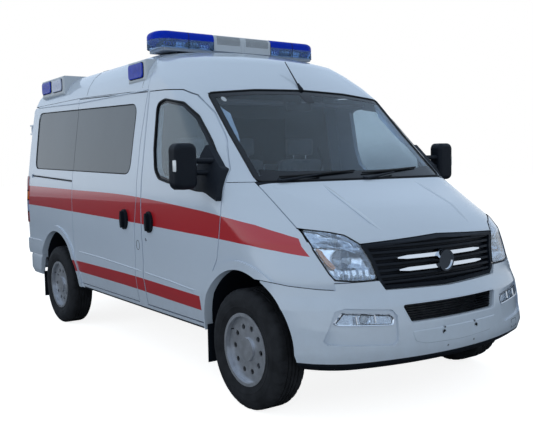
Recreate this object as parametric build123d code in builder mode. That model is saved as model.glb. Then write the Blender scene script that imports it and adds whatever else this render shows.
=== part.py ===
"""Ambulance built on a short panel van, in millimetres.

+Z is up, the front faces -Y and +X is the vehicle's left side. The origin lies on
the ground under the middle of the overall length and width.
"""
import os
from collections import namedtuple
from math import cos, radians, sin, sqrt

from build123d import *

os.makedirs("parts", exist_ok=True)

# ---------------------------------------------------------------- driving dimensions
WHEELBASE = 3100.0
FRONT_OVERHANG = 787.0        # front axle to the front of the bumper
REAR_OVERHANG = 1063.0        # rear axle to the back of the step bumper
TRACK = 1734.0                # between the middles of the tyres
TYRE_RADIUS = 354.6
TYRE_WIDTH = 215.0
RIM_FLANGE_RADIUS = 214.4
RIM_WIDTH = 178.0
DISH_DEPTH = 22.0             # wheel disc set back from the rim's outer edge

WALL = 45.0                   # body side, inner trim included
ROOF_DROP = 40.0              # roof skin to headlining
GLASS = 5.0
GLASS_INSET = 5.0             # glass set back from the skin
SHUT_GAP = 7.0                # between a moving panel and the body
PANEL_GAP = 4.0               # between two fixed panels

FRONT_ARCH_RADIUS = 440.0
REAR_ARCH_RADIUS = 470.0
ARCH_CENTRE_Z = 385.0
FLARE_WIDTH = 52.0
FLARE_RISE = 12.0

FLOOR_TOP = 600.0
FLOOR_THICKNESS = 60.0
SILL_Z = 395.0
BELT_Z = 1325.0               # windscreen base and wing top

KINGPIN_X = 775.0
SLIDE_OPENING_REAR = 440.0    # sliding door's rear edge, ahead of the rear axle

BEAD_RADIUS = 203.0
FIT = 0.3                     # between pieces that sit on each other
RUNNING = 0.05                # radial, between a shaft and its bore
HOLE_CIRCLE = 132.0
HOLE_COUNT = 10
HOLE_RADIUS = 16.0
HUB_START = -22.0             # from the wheel's middle, outboard positive
HUB_RADIUS = 68.0
CAP_RISE = 14.0
SPINDLE_RADIUS = 30.0
SPINDLE_END = 46.0
DISC_START = -19.0
DISC_THICKNESS = 24.0
DISC_RADIUS = 150.0
STRUT_X = 720.0
STRUT_TOP = 812.0
BALL_Z = 250.0
BALL_RADIUS = 12.0
BEAM_HALF = 730.0
BEAM_Z = 300.0
BEAM_RADIUS = 40.0
SPRING_X = 600.0
PIPE_RADIUS = 28.0
PIPE_X = -180.0
DOWNPIPE_Y = -160.0           # behind the front axle, clear of the subframe
PIPE_LOW = 222.0              # under the subframe
PIPE_HIGH = 340.0
FLAP_LOW = 185.0
STRETCHER_BOLTS_X = 400.0      # floor fixings for a stretcher's base
STRETCHER_BOLTS_Y = 1400.0
STRETCHER_BOLT_R = 6.0
STRETCHER_X = -200.0
STRETCHER_MIDDLE = 1000.0
COLUMN_TILT = 40.0
COLUMN_RADIUS = 11.0
COLUMN_LENGTH = 320.0
DRIVER_X = 480.0
STEERING_Y = 640.0
STEERING_Z = 1110.0
STEERING_RADIUS = 190.0
LIGHT_BAR_Y = 1510.0          # behind the front axle
LIGHT_BAR_HALF = 750.0
LIGHT_BAR_DEPTH = 272.0
LIGHT_BAR_Z = 2286.0
BASE_HEIGHT = 22.0
LENS_HEIGHT = 125.0
CENTRE_HALF = 268.0
MODULE_GAP = 1.0
LENS_END_RADIUS = 118.0
LENS_TOP_RADIUS = 40.0
FOOT_X = 500.0
BEACON_LENS = (237.0, 108.0)  # length and height of one side lamp
BEACON_PROUD = 14.0           # lens in front of its housing

FRONT_Y = -(FRONT_OVERHANG + WHEELBASE + REAR_OVERHANG) / 2 + FRONT_OVERHANG
REAR_Y = FRONT_Y + WHEELBASE
HALF_TRACK = TRACK / 2
HUB_Z = TYRE_RADIUS

# Body sections from the sill to the roof's crown. front is from the front axle and
# rear from the rear axle. turn is where the bowed front meets its corner, and the
# same words with rear_ give the back.
Level = namedtuple("Level", "z half front turn bow rear rear_turn rear_bow")
BODY = (
    Level(380, 945, -615, 600, 65, 900, 840, 30),
    Level(640, 985, -655, 600, 65, 925, 865, 30),
    Level(765, 982, -666, 600, 65, 930, 865, 30),
    Level(979, 988, -627, 560, 75, 930, 865, 30),
    Level(1045, 988, -563, 560, 75, 930, 865, 30),
    Level(1150, 987, -408, 560, 80, 930, 865, 30),
    Level(1323, 975, -22, 700, 70, 930, 860, 30),
    Level(1625, 935, 308, 690, 65, 930, 820, 30),
    Level(1901, 895, 591, 680, 60, 925, 780, 30),
    Level(2010, 880, 715, 650, 70, 920, 760, 30),
    Level(2118, 840, 853, 600, 80, 905, 700, 40),
    Level(2190, 790, 956, 560, 90, 880, 640, 50),
    Level(2250, 720, 1126, 500, 100, 820, 560, 60),
    Level(2290, 600, 1300, 420, 110, 700, 440, 80),
    Level(2312, 350, 1700, 250, 120, 400, 250, 80),
)
SIDE_TAPER = 20.0             # each side closes in by this much from front to back
ROOF_START_Z = 2050.0         # above this the lining follows the roof down, not in

# Front bumper sections, in the same terms; its back end is cut off by the arches.
BUMPER = (
    Level(318, 900, -722, 650, 107, 0, 600, 30),
    Level(352, 962, -768, 650, 107, 0, 600, 30),
    Level(406, 986, -787, 650, 107, 0, 600, 30),
    Level(545, 992, -767, 650, 107, 0, 600, 30),
    Level(650, 992, -744, 650, 107, 0, 600, 30),
    Level(722, 988, -697, 630, 90, 0, 600, 30),
    Level(800, 984, -670, 600, 69, 0, 600, 30),
)
BUMPER_WALL = 32.0
BUMPER_TOP = 783.0
# the bumper's upper edge under the wing, out to the wheel arch, as (x, z)
WING_SEAM = ((735, 747), (805, 753), (913, 768), (981, 787), (1100, 800))

# Rear step bumper sections; its front is cut off by the rear arches.
REAR_BUMPER = (
    Level(400, 975, 0, 600, 50, REAR_OVERHANG - 35, 690, 50),
    Level(445, 992, 0, 600, 50, REAR_OVERHANG, 690, 50),
    Level(560, 992, 0, 600, 50, REAR_OVERHANG, 690, 50),
    Level(592, 986, 0, 600, 50, REAR_OVERHANG - 15, 690, 50),
)


def corner(a, turn, bow):
    """Depth and radius of the arc from a bowed end's tangent to a straight side."""
    slope = 2 * bow * turn / (turn * turn - bow * bow)
    depth = a * (slope + sqrt(1 + slope * slope))
    return depth, a + depth * slope


def plan_section(level, inset=0.0):
    """One closed plan outline: bowed front, two corners, tapering sides, bowed back."""
    half = level.half - inset
    rear_half = half - SIDE_TAPER
    front = FRONT_Y + level.front + inset
    rear = REAR_Y + level.rear - inset
    turn = level.turn - inset * 0.4
    rear_turn = level.rear_turn - inset * 0.4
    depth, _ = corner(half - turn, turn, level.bow)
    rear_depth, _ = corner(rear_half - rear_turn, rear_turn, level.rear_bow)
    nose = front + level.bow
    tail = rear - level.rear_bow
    with BuildSketch() as section:
        with BuildLine():
            ThreePointArc((-turn, nose), (0, front), (turn, nose))
            TangentArc((half, nose + depth), (turn, nose), tangent=(0, -1))
            Line((half, nose + depth), (rear_half, tail - rear_depth))
            TangentArc((rear_half, tail - rear_depth), (rear_turn, tail), tangent=(0, 1))
            ThreePointArc((rear_turn, tail), (0, rear), (-rear_turn, tail))
            TangentArc((-rear_half, tail - rear_depth), (-rear_turn, tail), tangent=(0, 1))
            Line((-rear_half, tail - rear_depth), (-half, nose + depth))
            TangentArc((-half, nose + depth), (-turn, nose), tangent=(0, -1))
        make_face()
    return section.sketch


def body_solid(inset, drop=0.0):
    """The body's outer form moved in by inset, with its roof lowered by drop."""
    with BuildPart() as solid:
        for level in BODY:
            z = level.z - (drop if level.z > ROOF_START_Z else 0)
            with BuildSketch(Plane.XY.offset(z)):
                add(plan_section(level, inset if level.z < ROOF_START_Z else inset * 0.7))
        loft(ruled=True)
    return solid.part


def bumper_solid(levels, inset, drop=0.0):
    """A bumper's form, lofted through its sections, moved in by inset and down by drop."""
    with BuildPart() as solid:
        for level in levels:
            with BuildSketch(Plane.XY.offset(level.z - drop)):
                add(plan_section(level, inset))
        loft(ruled=True)
    return solid.part


def outline_face(points, grow=0.0, radius=0.0):
    """A closed face through the points, grown or shrunk, its corners rounded."""
    with BuildSketch() as face:
        with BuildLine():
            Polyline(*points, close=True)
        make_face()
        if grow:
            offset(amount=grow, kind=Kind.INTERSECTION)
        if radius:
            fillet(face.vertices(), radius)
    return face.sketch


def side_prism(points, side=1, grow=0.0, radius=0.0, near=0.0, far=1400.0):
    """A side-view outline (y, z) carried out across the left (1) or right (-1) side."""
    with BuildPart() as prism:
        with BuildSketch(Plane.YZ.offset(side * near)):
            add(outline_face(points, grow, radius))
        extrude(amount=side * (far - near))
    return prism.part


def front_prism(points, y_from, y_to, grow=0.0, radius=0.0):
    """A front-view outline (x, z) carried from y_from back to y_to."""
    with BuildPart() as prism:
        with BuildSketch(Plane.XZ.offset(-y_from)):
            add(outline_face(points, grow, radius))
        extrude(amount=-(y_to - y_from))
    return prism.part


def arch_prism(axle_y, radius, near=0.0, far=1400.0, side=1):
    """The round wheel opening about an axle, carried out across one side."""
    with BuildPart() as prism:
        with BuildSketch(Plane.YZ.offset(side * near)):
            with Locations((axle_y, ARCH_CENTRE_Z)):
                Circle(radius)
        extrude(amount=side * (far - near))
    return prism.part


def box_between(low, high):
    """A box from its low corner to its high corner."""
    with BuildPart() as block:
        with Locations(tuple((a + b) / 2 for a, b in zip(low, high))):
            Box(*(b - a for a, b in zip(low, high)))
    return block.part


def side_box(side, low, high):
    """A box given for the left side, moved across to the chosen side."""
    xs = sorted((side * low[0], side * high[0]))
    return box_between((xs[0], low[1], low[2]), (xs[1], high[1], high[2]))


def tube_between(start, end, radius):
    """A round bar from one point to another."""
    axis = Vector(*end) - Vector(*start)
    with BuildPart() as bar:
        with BuildSketch(Plane(origin=start, z_dir=axis)):
            Circle(radius)
        extrude(amount=axis.length)
    return bar.part


def cut(base, *tools):
    """The base with every tool taken away."""
    with BuildPart() as piece:
        add(base)
        for tool in tools:
            add(tool, mode=Mode.SUBTRACT)
    return piece.part


def common(base, *tools):
    """What the base shares with every tool; each tool is one solid."""
    with BuildPart() as piece:
        add(base)
        for tool in tools:
            add(tool, mode=Mode.INTERSECT)
    return piece.part


def joined(*parts):
    """The parts fused into one."""
    with BuildPart() as piece:
        for part in parts:
            add(part)
    return piece.part


def across(points):
    """Front-view points of the left half, then their mirror image, in one loop."""
    return list(points) + [(-x, z) for x, z in reversed(points) if x]


def flipped(points, side):
    return [(side * x, z) for x, z in points]


def from_front(points):
    return [(FRONT_Y + y, z) for y, z in points]


def from_rear(points):
    return [(REAR_Y + y, z) for y, z in points]


def keep(shape, name):
    """Label a finished piece, or a list of separate ones, and write it."""
    pieces = shape if isinstance(shape, list) else [shape]
    solids = [solid for one in pieces for solid in one.solids()]
    piece = Compound(children=solids) if len(solids) > 1 else solids[0]
    piece.label = name
    export_step(piece, f"parts/{name}.step")
    return piece


SIDES = (("left", 1), ("right", -1))

# ---------------------------------------------------------------- panel outlines
# Side views are (y from the named axle, z); front and rear views are (x, z).
FRONT_DOOR = ((450, 430), (447, 560), (400, 662), (310, 765), (238, 860), (205, 983),
              (178, 1134), (188, 1240), (230, 1400), (372, 1583), (552, 1769),
              (706, 1893), (826, 1938), (1022, 1954), (1262, 1966), (1272, 1190), (1272, 430))
FRONT_WINDOW = ((222, 1264), (268, 1398), (436, 1578), (612, 1748), (762, 1842), (1006, 1884),
                (1116, 1862), (1102, 1542), (1066, 1404), (1000, 1345), (860, 1322), (480, 1275))
SLIDE_FRONT = ((1410, 430), (1390, 950), (1347, 1190), (1338, 1600), (1288, 1966))
SIDE_WINDOW_FRONT = ((1480, 1375), (1450, 1890))
SIDE_WINDOW_REAR = ((632, 1977), (600, 1436))
WINDOW_SPLIT = 3.0            # between the sliding door's pane and the fixed one, each side
RAIL_RECESS = ((-438, 1306), (-438, 1328), (700, 1382), (700, 1347))
RAIL_DEPTH = 12.0
HEADLAMP = ((797, 1069), (675, 1048), (607, 1030), (553, 981), (507, 884), (486, 787),
            (621, 788), (727, 800), (747, 836), (788, 957))
GRILLE = ((0, 1005), (548, 979), (503, 884), (482, 783), (454, 735), (0, 722))
GRILLE_RIM = 20.0
GRILLE_DEPTH = 36.0           # skin to the back plate between the slats
SLAT_Z = (768.0, 800.0, 831.0, 864.0, 897.0, 930.0, 960.0)
SLAT_HEIGHT = 13.0
CHROME_Z = (831.0, 897.0)
CHROME_BAR = ((20, 11), (280, 10), (345, 3), (345, -4), (280, -10), (20, -11))
BADGE_Z = 857.0
BADGE_RADIUS = 62.0
BADGE_PROUD = 26.0
BONNET = ((0, 1010), (553, 985), (607, 1034), (675, 1052), (797, 1073), (797, 1400), (0, 1400))
BONNET_REAR = (-38.0, 50.0)   # behind the front axle, at the middle and at its sides
BONNET_HALF = 797.0
WINDSCREEN = ((0, 1325), (791, 1325), (756, 1903), (400, 1935), (0, 1945))
REAR_DOOR = ((4, 600), (836, 600), (842, 1200), (800, 1900), (740, 2030), (4, 2040))
REAR_WINDOW = ((110, 1400), (740, 1400), (712, 1880), (110, 1900))
REAR_HANDLE = ((70, 1120), (70, 1190), (300, 1190), (300, 1120))
LOWER_INTAKE = ((0, 650), (390, 650), (345, 552), (0, 552))
FOG_POCKET = ((831, 488), (767, 642), (714, 656), (456, 632), (430, 600), (440, 466),
              (470, 444), (815, 468))
FOG_LAMP = ((776, 575), (727, 632), (470, 606), (446, 586), (456, 548), (752, 566))
POCKET_DEPTH = 14.0
TAIL_LAMP = ((880, 900), (1000, 900), (1000, 1360), (880, 1360))
MIRROR_SAIL = ((120, 1222), (150, 1300), (232, 1400), (268, 1420), (420, 1562), (436, 1400),
               (436, 1290), (300, 1258), (180, 1210))
MIRROR_BASE = 34.0
PILLAR_SKIN = 20.0            # wing skin outside the windscreen pillar's foot
PILLAR_X = 806.0
DOOR_CLEAR = 6.0              # floor and dashboard to a closed door
HINGE_PIN_R = 6.0
HINGE_BARREL_R = 13.0
HINGE_Z = (720.0, 1250.0, 1830.0)
REAR_HINGE_X = 846.5
REAR_HINGE_Y = 935.0          # behind the rear axle
STRIKER_R = 6.0
STRIKER_Z = 1010.0
TAIL_LAMP_RISE = 8.0
FRONT_CHEEK_X = 552.0
REAR_CHEEK_X = 712.0
MIRROR_ARM_Z = (1385.0, 1455.0)
MIRROR_HEAD = (1059.0, 1209.0, 300.0, 398.0, 1286.0, 1562.0)
HANDLE_Z = 1042.0
HANDLE_PLATE = (104.0, 150.0)
HANDLE_GRIP = (30.0, 124.0)
FRONT_HANDLE_Y = 1131.0
SLIDE_HANDLE_Y = 1545.0
WINDOW_LEDGE = 35.0
WINDOW_RADIUS = 90.0
DOOR_WINDOW_LEDGE = 22.0
LAMP_DEPTH = 120.0
PARTITION_Y = 1400.0
PARTITION_TOP = 2240.0
FIREWALL_TOP = 1245.0
SEATS = ((230, 730), (-780, 130))   # driver, then two passengers
ROOF_SEAM_Y = 1284.0          # roof cap to roof panel, behind the front axle
ROOF_SEAM_Z = (1972.0, 2032.0, 2046.0)
FAR = 1400.0                  # beyond either side of the body
NOSE_Y = FRONT_Y - 950        # ahead of the bumper
TAIL_Y = REAR_Y + 1000        # behind the body

door_edge = from_front(FRONT_DOOR)
door_window = from_front(FRONT_WINDOW)
slide_rear_y = REAR_Y - SLIDE_OPENING_REAR
flare_clear = REAR_ARCH_RADIUS + FLARE_WIDTH + SHUT_GAP


def ahead_of_flare(z):
    return REAR_Y - sqrt(flare_clear**2 - (z - ARCH_CENTRE_Z)**2)


slide_outline = (from_front(SLIDE_FRONT) + [(slide_rear_y, 2028), (slide_rear_y, 690)]
                 + [(ahead_of_flare(z), z) for z in (600, 510, 430)])
side_window = from_front(SIDE_WINDOW_FRONT) + from_rear(SIDE_WINDOW_REAR)
side_region = (from_front([(452, SILL_Z), (452, 428), (1276, 428), (1276, 1969),
                           (ROOF_SEAM_Y, ROOF_SEAM_Z[0])])
               + [(slide_rear_y, ROOF_SEAM_Z[1]), (REAR_Y + 700, ROOF_SEAM_Z[2]),
                  (TAIL_Y, ROOF_SEAM_Z[2]), (TAIL_Y, 594), (REAR_Y, 594), (REAR_Y, SILL_Z)])

# ---------------------------------------------------------------- body forms
outer = body_solid(0)
inner = body_solid(WALL, ROOF_DROP)
shell = cut(outer, inner)
glass_floor = body_solid(GLASS_INSET + GLASS)
glass_sheet = cut(body_solid(GLASS_INSET), glass_floor)
rebate = cut(outer, glass_floor)
flare_form = cut(body_solid(-FLARE_RISE), inner)
bumper_outer = bumper_solid(BUMPER, 0)
bumper_inner = bumper_solid(BUMPER, BUMPER_WALL)


def flare(axle_y, radius, side):
    """Raised lip round a wheel opening, standing proud of the body's side."""
    ring = cut(arch_prism(axle_y, radius + FLARE_WIDTH, 700, side=side),
               arch_prism(axle_y, radius, 700, side=side))
    above = box_between((-FAR, axle_y - 900, SILL_Z), (FAR, axle_y + 900, 1200))
    return common(flare_form, ring, above)


def window_in(panel, outline, side, ledge, radius):
    """A panel with a rebate for bonded glass and the opening inside it."""
    seat = common(rebate, side_prism(outline, side, radius=radius))
    return cut(panel, seat, side_prism(outline, side, grow=-ledge, radius=radius - ledge / 2))


def handle(y, side):
    """An oval plate on a door's skin with an upright grip standing off it."""
    with BuildPart() as fitting:
        for size, rise in ((HANDLE_PLATE, 10), (HANDLE_GRIP, 34)):
            with BuildSketch(Plane.YZ.offset(side * 960)):
                with Locations((y, HANDLE_Z)):
                    Ellipse(size[0] / 2, size[1] / 2)
            extrude(amount=side * (28 + rise))
    return cut(fitting.part, outer)


# ---------------------------------------------------------------- cab frame and roof
windscreen_cut = front_prism(across(WINDSCREEN), NOSE_Y, FRONT_Y + 900)
pillar_form = body_solid(PILLAR_SKIN)
pillar_feet = {side: common(pillar_form, side_box(side, (PILLAR_X, FRONT_Y + 112, 845),
                                                  (FAR, FRONT_Y + 166, BELT_Z + 10)))
               for _, side in SIDES}
door_cuts = {side: side_prism(door_edge, side) for _, side in SIDES}
region_cuts = {side: side_prism(side_region, side, grow=PANEL_GAP) for _, side in SIDES}
cab_frame = common(shell, box_between((-FAR, NOSE_Y, BELT_Z), (FAR, FRONT_Y + ROOF_SEAM_Y, 2400)))
cab_frame = cut(cab_frame, common(rebate, windscreen_cut),
                front_prism(across(WINDSCREEN), NOSE_Y, FRONT_Y + 900, grow=-30))
cab_frame = cut(joined(cab_frame, pillar_feet[1], pillar_feet[-1]),
                door_cuts[1], door_cuts[-1], region_cuts[1], region_cuts[-1])
keep(cab_frame, "cab_frame")
rear_doors_cut = front_prism(across(REAR_DOOR)[1:-1], REAR_Y + 700, TAIL_Y, grow=SHUT_GAP)
roof = common(shell, box_between((-FAR, FRONT_Y + ROOF_SEAM_Y + PANEL_GAP, 1900),
                                 (FAR, TAIL_Y, 2400)))
roof = cut(roof, side_prism(side_region, 1, grow=PANEL_GAP, near=700),
           side_prism(side_region, -1, grow=PANEL_GAP, near=700), rear_doors_cut,
           box_between((-FAR, REAR_Y + 700, 1900), (FAR, TAIL_Y, ROOF_SEAM_Z[2] + PANEL_GAP)))
keep(roof, "roof")
keep(common(glass_sheet, windscreen_cut), "windscreen")

# ---------------------------------------------------------------- hinges and strikers
def rear_hinge_leaves(side, z):
    """One external hinge: the door's barrel and leaf, then the body's ears and pin."""
    x, y = side * REAR_HINGE_X, REAR_Y + REAR_HINGE_Y
    barrel = cut(joined(tube_between((x, y, z - 28), (x, y, z + 28), HINGE_BARREL_R),
                        side_box(side, (765, REAR_Y + 893, z - 28),
                                 (REAR_HINGE_X, REAR_Y + 935, z + 28))),
                 tube_between((x, y, z - 60), (x, y, z + 60), HINGE_PIN_R + RUNNING))
    ears = [tube_between((x, y, z - 50), (x, y, z + 50), HINGE_PIN_R)]
    for low, high in ((z - 50, z - 34), (z + 34, z + 50)):
        ears.append(tube_between((x, y, low), (x, y, high), HINGE_BARREL_R))
        ears.append(side_box(side, (REAR_HINGE_X, REAR_Y + 840, low),
                             (872, REAR_Y + 935, high)))
    return barrel, joined(*ears)


def striker(side, grow=0.0):
    """The pin on the centre pillar that the front door's latch closes on."""
    x, y = side * 962, FRONT_Y + 1272
    return tube_between((x, y - 34, STRIKER_Z), (x, y + 12, STRIKER_Z), STRIKER_R + grow)


# ---------------------------------------------------------------- body sides
rear_arch = {side: arch_prism(REAR_Y, REAR_ARCH_RADIUS, 700, side=side) for _, side in SIDES}
front_arch = {side: arch_prism(FRONT_Y, FRONT_ARCH_RADIUS, 555, side=side) for _, side in SIDES}
recess_form = cut(outer, body_solid(RAIL_DEPTH))
for name, side in SIDES:
    panel = window_in(common(shell, side_prism(side_region, side)), side_window, side,
                      WINDOW_LEDGE, WINDOW_RADIUS)
    cuts = [rear_doors_cut, rear_arch[side],
            box_between((-850, REAR_Y + 700, SILL_Z - 10), (850, TAIL_Y, ROOF_SEAM_Z[2]))]
    if side < 0:
        cuts.append(side_prism(slide_outline, side))
        cuts.append(common(recess_form, side_prism(from_rear(RAIL_RECESS), side)))
    lip = cut(flare(REAR_Y, REAR_ARCH_RADIUS, side),
              side_box(side, (0, REAR_Y, 0), (FAR, REAR_Y + 900, 594)))
    ears = [rear_hinge_leaves(side, z)[1] for z in HINGE_Z]
    keep(joined(cut(panel, *cuts), lip, striker(side), *ears), f"body_side_{name}")

pane_cuts = {side: side_prism(side_window, side, radius=WINDOW_RADIUS) for _, side in SIDES}
split = box_between((-FAR, slide_rear_y - WINDOW_SPLIT, 1000),
                    (0, slide_rear_y + WINDOW_SPLIT, 2100))
keep([common(glass_sheet, pane_cuts[1]), cut(common(glass_sheet, pane_cuts[-1]), split)],
     "side_glass")

leaf = common(shell, side_prism(slide_outline, -1, grow=-SHUT_GAP))
back_stile = common(leaf, glass_floor, box_between((-FAR, slide_rear_y - 60, 1000),
                                                   (0, slide_rear_y - SHUT_GAP, 2100)))
keep(joined(window_in(leaf, side_window, -1, WINDOW_LEDGE, WINDOW_RADIUS), back_stile),
     "sliding_door")
keep(handle(FRONT_Y + SLIDE_HANDLE_Y, -1), "slide_handle")

# ---------------------------------------------------------------- wings, bonnet and nose
lamp_form = cut(outer, body_solid(LAMP_DEPTH, ROOF_DROP))
lamp_cuts = {side: front_prism(flipped(HEADLAMP, side), NOSE_Y, FRONT_Y, grow=PANEL_GAP)
             for _, side in SIDES}
grille_cut = front_prism(across(GRILLE), NOSE_Y, FRONT_Y, grow=PANEL_GAP)
seam_points = [(735, 0), *WING_SEAM, (1100, 0)]


def below_wing(side, grow=0.0):
    """What lies under the seam between the bumper and a wing."""
    side_part = front_prism(flipped([(x, z + (grow if z else 0)) for x, z in seam_points], side),
                            NOSE_Y, FRONT_Y)
    return joined(side_part, side_box(side, (0, NOSE_Y, 0), (735, FRONT_Y, BUMPER_TOP + grow)))


wings = []
for _, side in SIDES:
    wing = common(shell, side_box(side, (0, NOSE_Y, SILL_Z), (FAR, FRONT_Y + 500,
                                                             BELT_Z - PANEL_GAP)))
    wings.append(cut(joined(wing, flare(FRONT_Y, FRONT_ARCH_RADIUS, side)), door_cuts[side],
                     region_cuts[side],
                     front_prism(across(BONNET), NOSE_Y, FRONT_Y + 500, grow=SHUT_GAP),
                     box_between((-801, NOSE_Y, 1000), (801, FRONT_Y + 500, 1330)),
                     lamp_cuts[side], grille_cut, below_wing(side, PANEL_GAP),
                     front_arch[side], pillar_feet[side]))
keep(wings, "wings")
keep([common(lamp_form, front_prism(flipped(HEADLAMP, side), NOSE_Y, FRONT_Y))
      for _, side in SIDES], "headlamps")

# ---------------------------------------------------------------- grille
badge_y = FRONT_Y - 652
badge_space = tube_between((0, badge_y - 80, BADGE_Z), (0, badge_y + 80, BADGE_Z),
                           BADGE_RADIUS + FIT)
mouth = front_prism(across(GRILLE), NOSE_Y, FRONT_Y, grow=-GRILLE_RIM)
grille_back = body_solid(GRILLE_DEPTH)
slats = [cut(common(outer, mouth, box_between((-FAR, NOSE_Y, z - SLAT_HEIGHT / 2),
                                              (FAR, FRONT_Y, z + SLAT_HEIGHT / 2))),
             body_solid(GRILLE_DEPTH + 3)) for z in SLAT_Z]
slat_front = cut(outer, body_solid(8))
rim = cut(common(shell, front_prism(across(GRILLE), NOSE_Y, FRONT_Y)),
          common(cut(outer, grille_back), mouth))
keep(cut(joined(rim, *[cut(slat, slat_front) for slat in slats]), badge_space), "grille")
bar_form = cut(body_solid(-12), body_solid(8 - FIT))
bars = [common(bar_form, front_prism(flipped([(x, z + dz) for x, dz in CHROME_BAR], side),
                                     NOSE_Y, FRONT_Y))
        for z in CHROME_Z for _, side in SIDES]
with BuildPart() as ring:
    with BuildSketch(Plane.XZ.offset(-(badge_y - BADGE_PROUD))):
        with Locations((0, BADGE_Z)):
            Circle(BADGE_RADIUS)
    extrude(amount=-90)
    with BuildSketch(Plane.XZ.offset(-(badge_y - BADGE_PROUD))):
        with Locations((0, BADGE_Z)):
            Circle(BADGE_RADIUS - 11)
    extrude(amount=-7, mode=Mode.SUBTRACT)
keep(cut(joined(ring.part, *bars), grille_back), "grille_trim")


def ahead_of_screen(gap):
    """Everything ahead of the bonnet's curved rear edge, moved back by gap."""
    middle, sides = (FRONT_Y + y + gap for y in BONNET_REAR)
    with BuildPart() as ahead:
        with BuildSketch(Plane.XY.offset(900)):
            with BuildLine():
                ThreePointArc((-BONNET_HALF, sides), (0, middle), (BONNET_HALF, sides))
                Polyline((BONNET_HALF, sides), (BONNET_HALF, NOSE_Y), (-BONNET_HALF, NOSE_Y),
                         (-BONNET_HALF, sides))
            make_face()
        extrude(amount=600)
    return ahead.part


front_skin = common(shell, box_between((-BONNET_HALF, NOSE_Y, 900),
                                       (BONNET_HALF, FRONT_Y + 500, 1400)))
keep(common(front_skin, front_prism(across(BONNET), NOSE_Y, FRONT_Y + 500), ahead_of_screen(0)),
     "bonnet")
cowl = common(front_skin, box_between((-BONNET_HALF, NOSE_Y, 1200),
                                      (BONNET_HALF, FRONT_Y + 500, BELT_Z - PANEL_GAP)))
plenum = common(inner, box_between((-BONNET_HALF + 20, NOSE_Y, FIREWALL_TOP),
                                   (BONNET_HALF - 20, FRONT_Y + 54, BELT_Z - PANEL_GAP)))
keep(cut(joined(cowl, plenum), ahead_of_screen(SHUT_GAP)), "cowl")

# ---------------------------------------------------------------- front bumper
bumper = common(cut(bumper_outer, bumper_inner),
                box_between((-FAR, NOSE_Y, 0), (FAR, FRONT_Y - 200, 1000)))
keep_below = joined(below_wing(1), below_wing(-1))
pocket_form = cut(bumper_outer, bumper_solid(BUMPER, POCKET_DEPTH))
pockets = [common(pocket_form, front_prism(flipped(FOG_POCKET, side), NOSE_Y, FRONT_Y, radius=14))
           for _, side in SIDES]
fog_cuts = [front_prism(flipped(FOG_LAMP, side), NOSE_Y, FRONT_Y, radius=8) for _, side in SIDES]
keep(cut(common(bumper, keep_below), front_arch[1], front_arch[-1],
         front_prism(across(LOWER_INTAKE), NOSE_Y, FRONT_Y, radius=12), grille_cut,
         lamp_cuts[1], lamp_cuts[-1], *pockets, *fog_cuts), "front_bumper")
fog_form = cut(bumper_solid(BUMPER, 6), bumper_solid(BUMPER, 58))
keep([common(fog_form, front_prism(flipped(FOG_LAMP, side), NOSE_Y, FRONT_Y, grow=-FIT, radius=8))
      for _, side in SIDES], "fog_lamps")

# ---------------------------------------------------------------- rear bumper
step = cut(bumper_solid(REAR_BUMPER, 0), bumper_solid(REAR_BUMPER, 40, 22))
step = common(step, box_between((-FAR, REAR_Y + 300, 0), (FAR, TAIL_Y + 200, 1000)))
step = cut(step, inner, rear_arch[1], rear_arch[-1])
corners = [cut(common(cut(flare_form, outer),
                      side_box(side, (700, REAR_Y + 400, 592), (FAR, REAR_Y + 868, 738))),
               arch_prism(REAR_Y, REAR_ARCH_RADIUS + FLARE_WIDTH + 2, 700, side=side))
           for _, side in SIDES]
keep(joined(step, *corners), "rear_bumper")

# ---------------------------------------------------------------- front doors
sail_form = cut(body_solid(-MIRROR_BASE), outer)
for name, side in SIDES:
    door = cut(common(shell, side_prism(door_edge, side, grow=-SHUT_GAP)), striker(side, FIT),
               side_box(side, (900, FRONT_Y + 1230, STRIKER_Z - STRIKER_R - FIT),
                        (962, FRONT_Y + 1280, STRIKER_Z + STRIKER_R + FIT)))
    keep(window_in(door, door_window, side, DOOR_WINDOW_LEDGE, 24), f"door_{name}")
    keep(common(glass_sheet, side_prism(door_window, side, radius=24)), f"door_glass_{name}")
    sail = common(sail_form, side_prism(from_front(MIRROR_SAIL), side, near=700, radius=8),
                  side_prism(door_edge, side, grow=-SHUT_GAP))
    arms = [cut(tube_between((side * 940, FRONT_Y + 330, z), (side * 1120, FRONT_Y + 348, z), 17),
                outer) for z in MIRROR_ARM_Z]
    x_in, x_out, y_front, y_back, low, high = MIRROR_HEAD
    with BuildPart() as head:
        add(side_box(side, (x_in, FRONT_Y + y_front, low), (x_out, FRONT_Y + y_back, high)))
        fillet(head.edges().filter_by(Axis.Y), 44)
        fillet(head.faces().sort_by(Axis.Y)[0].edges(), 30)
        fillet(head.faces().sort_by(Axis.Y)[-1].edges(), 8)
    keep([joined(sail, *arms, head.part), handle(FRONT_Y + FRONT_HANDLE_Y, side)],
         f"door_trim_{name}")

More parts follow.
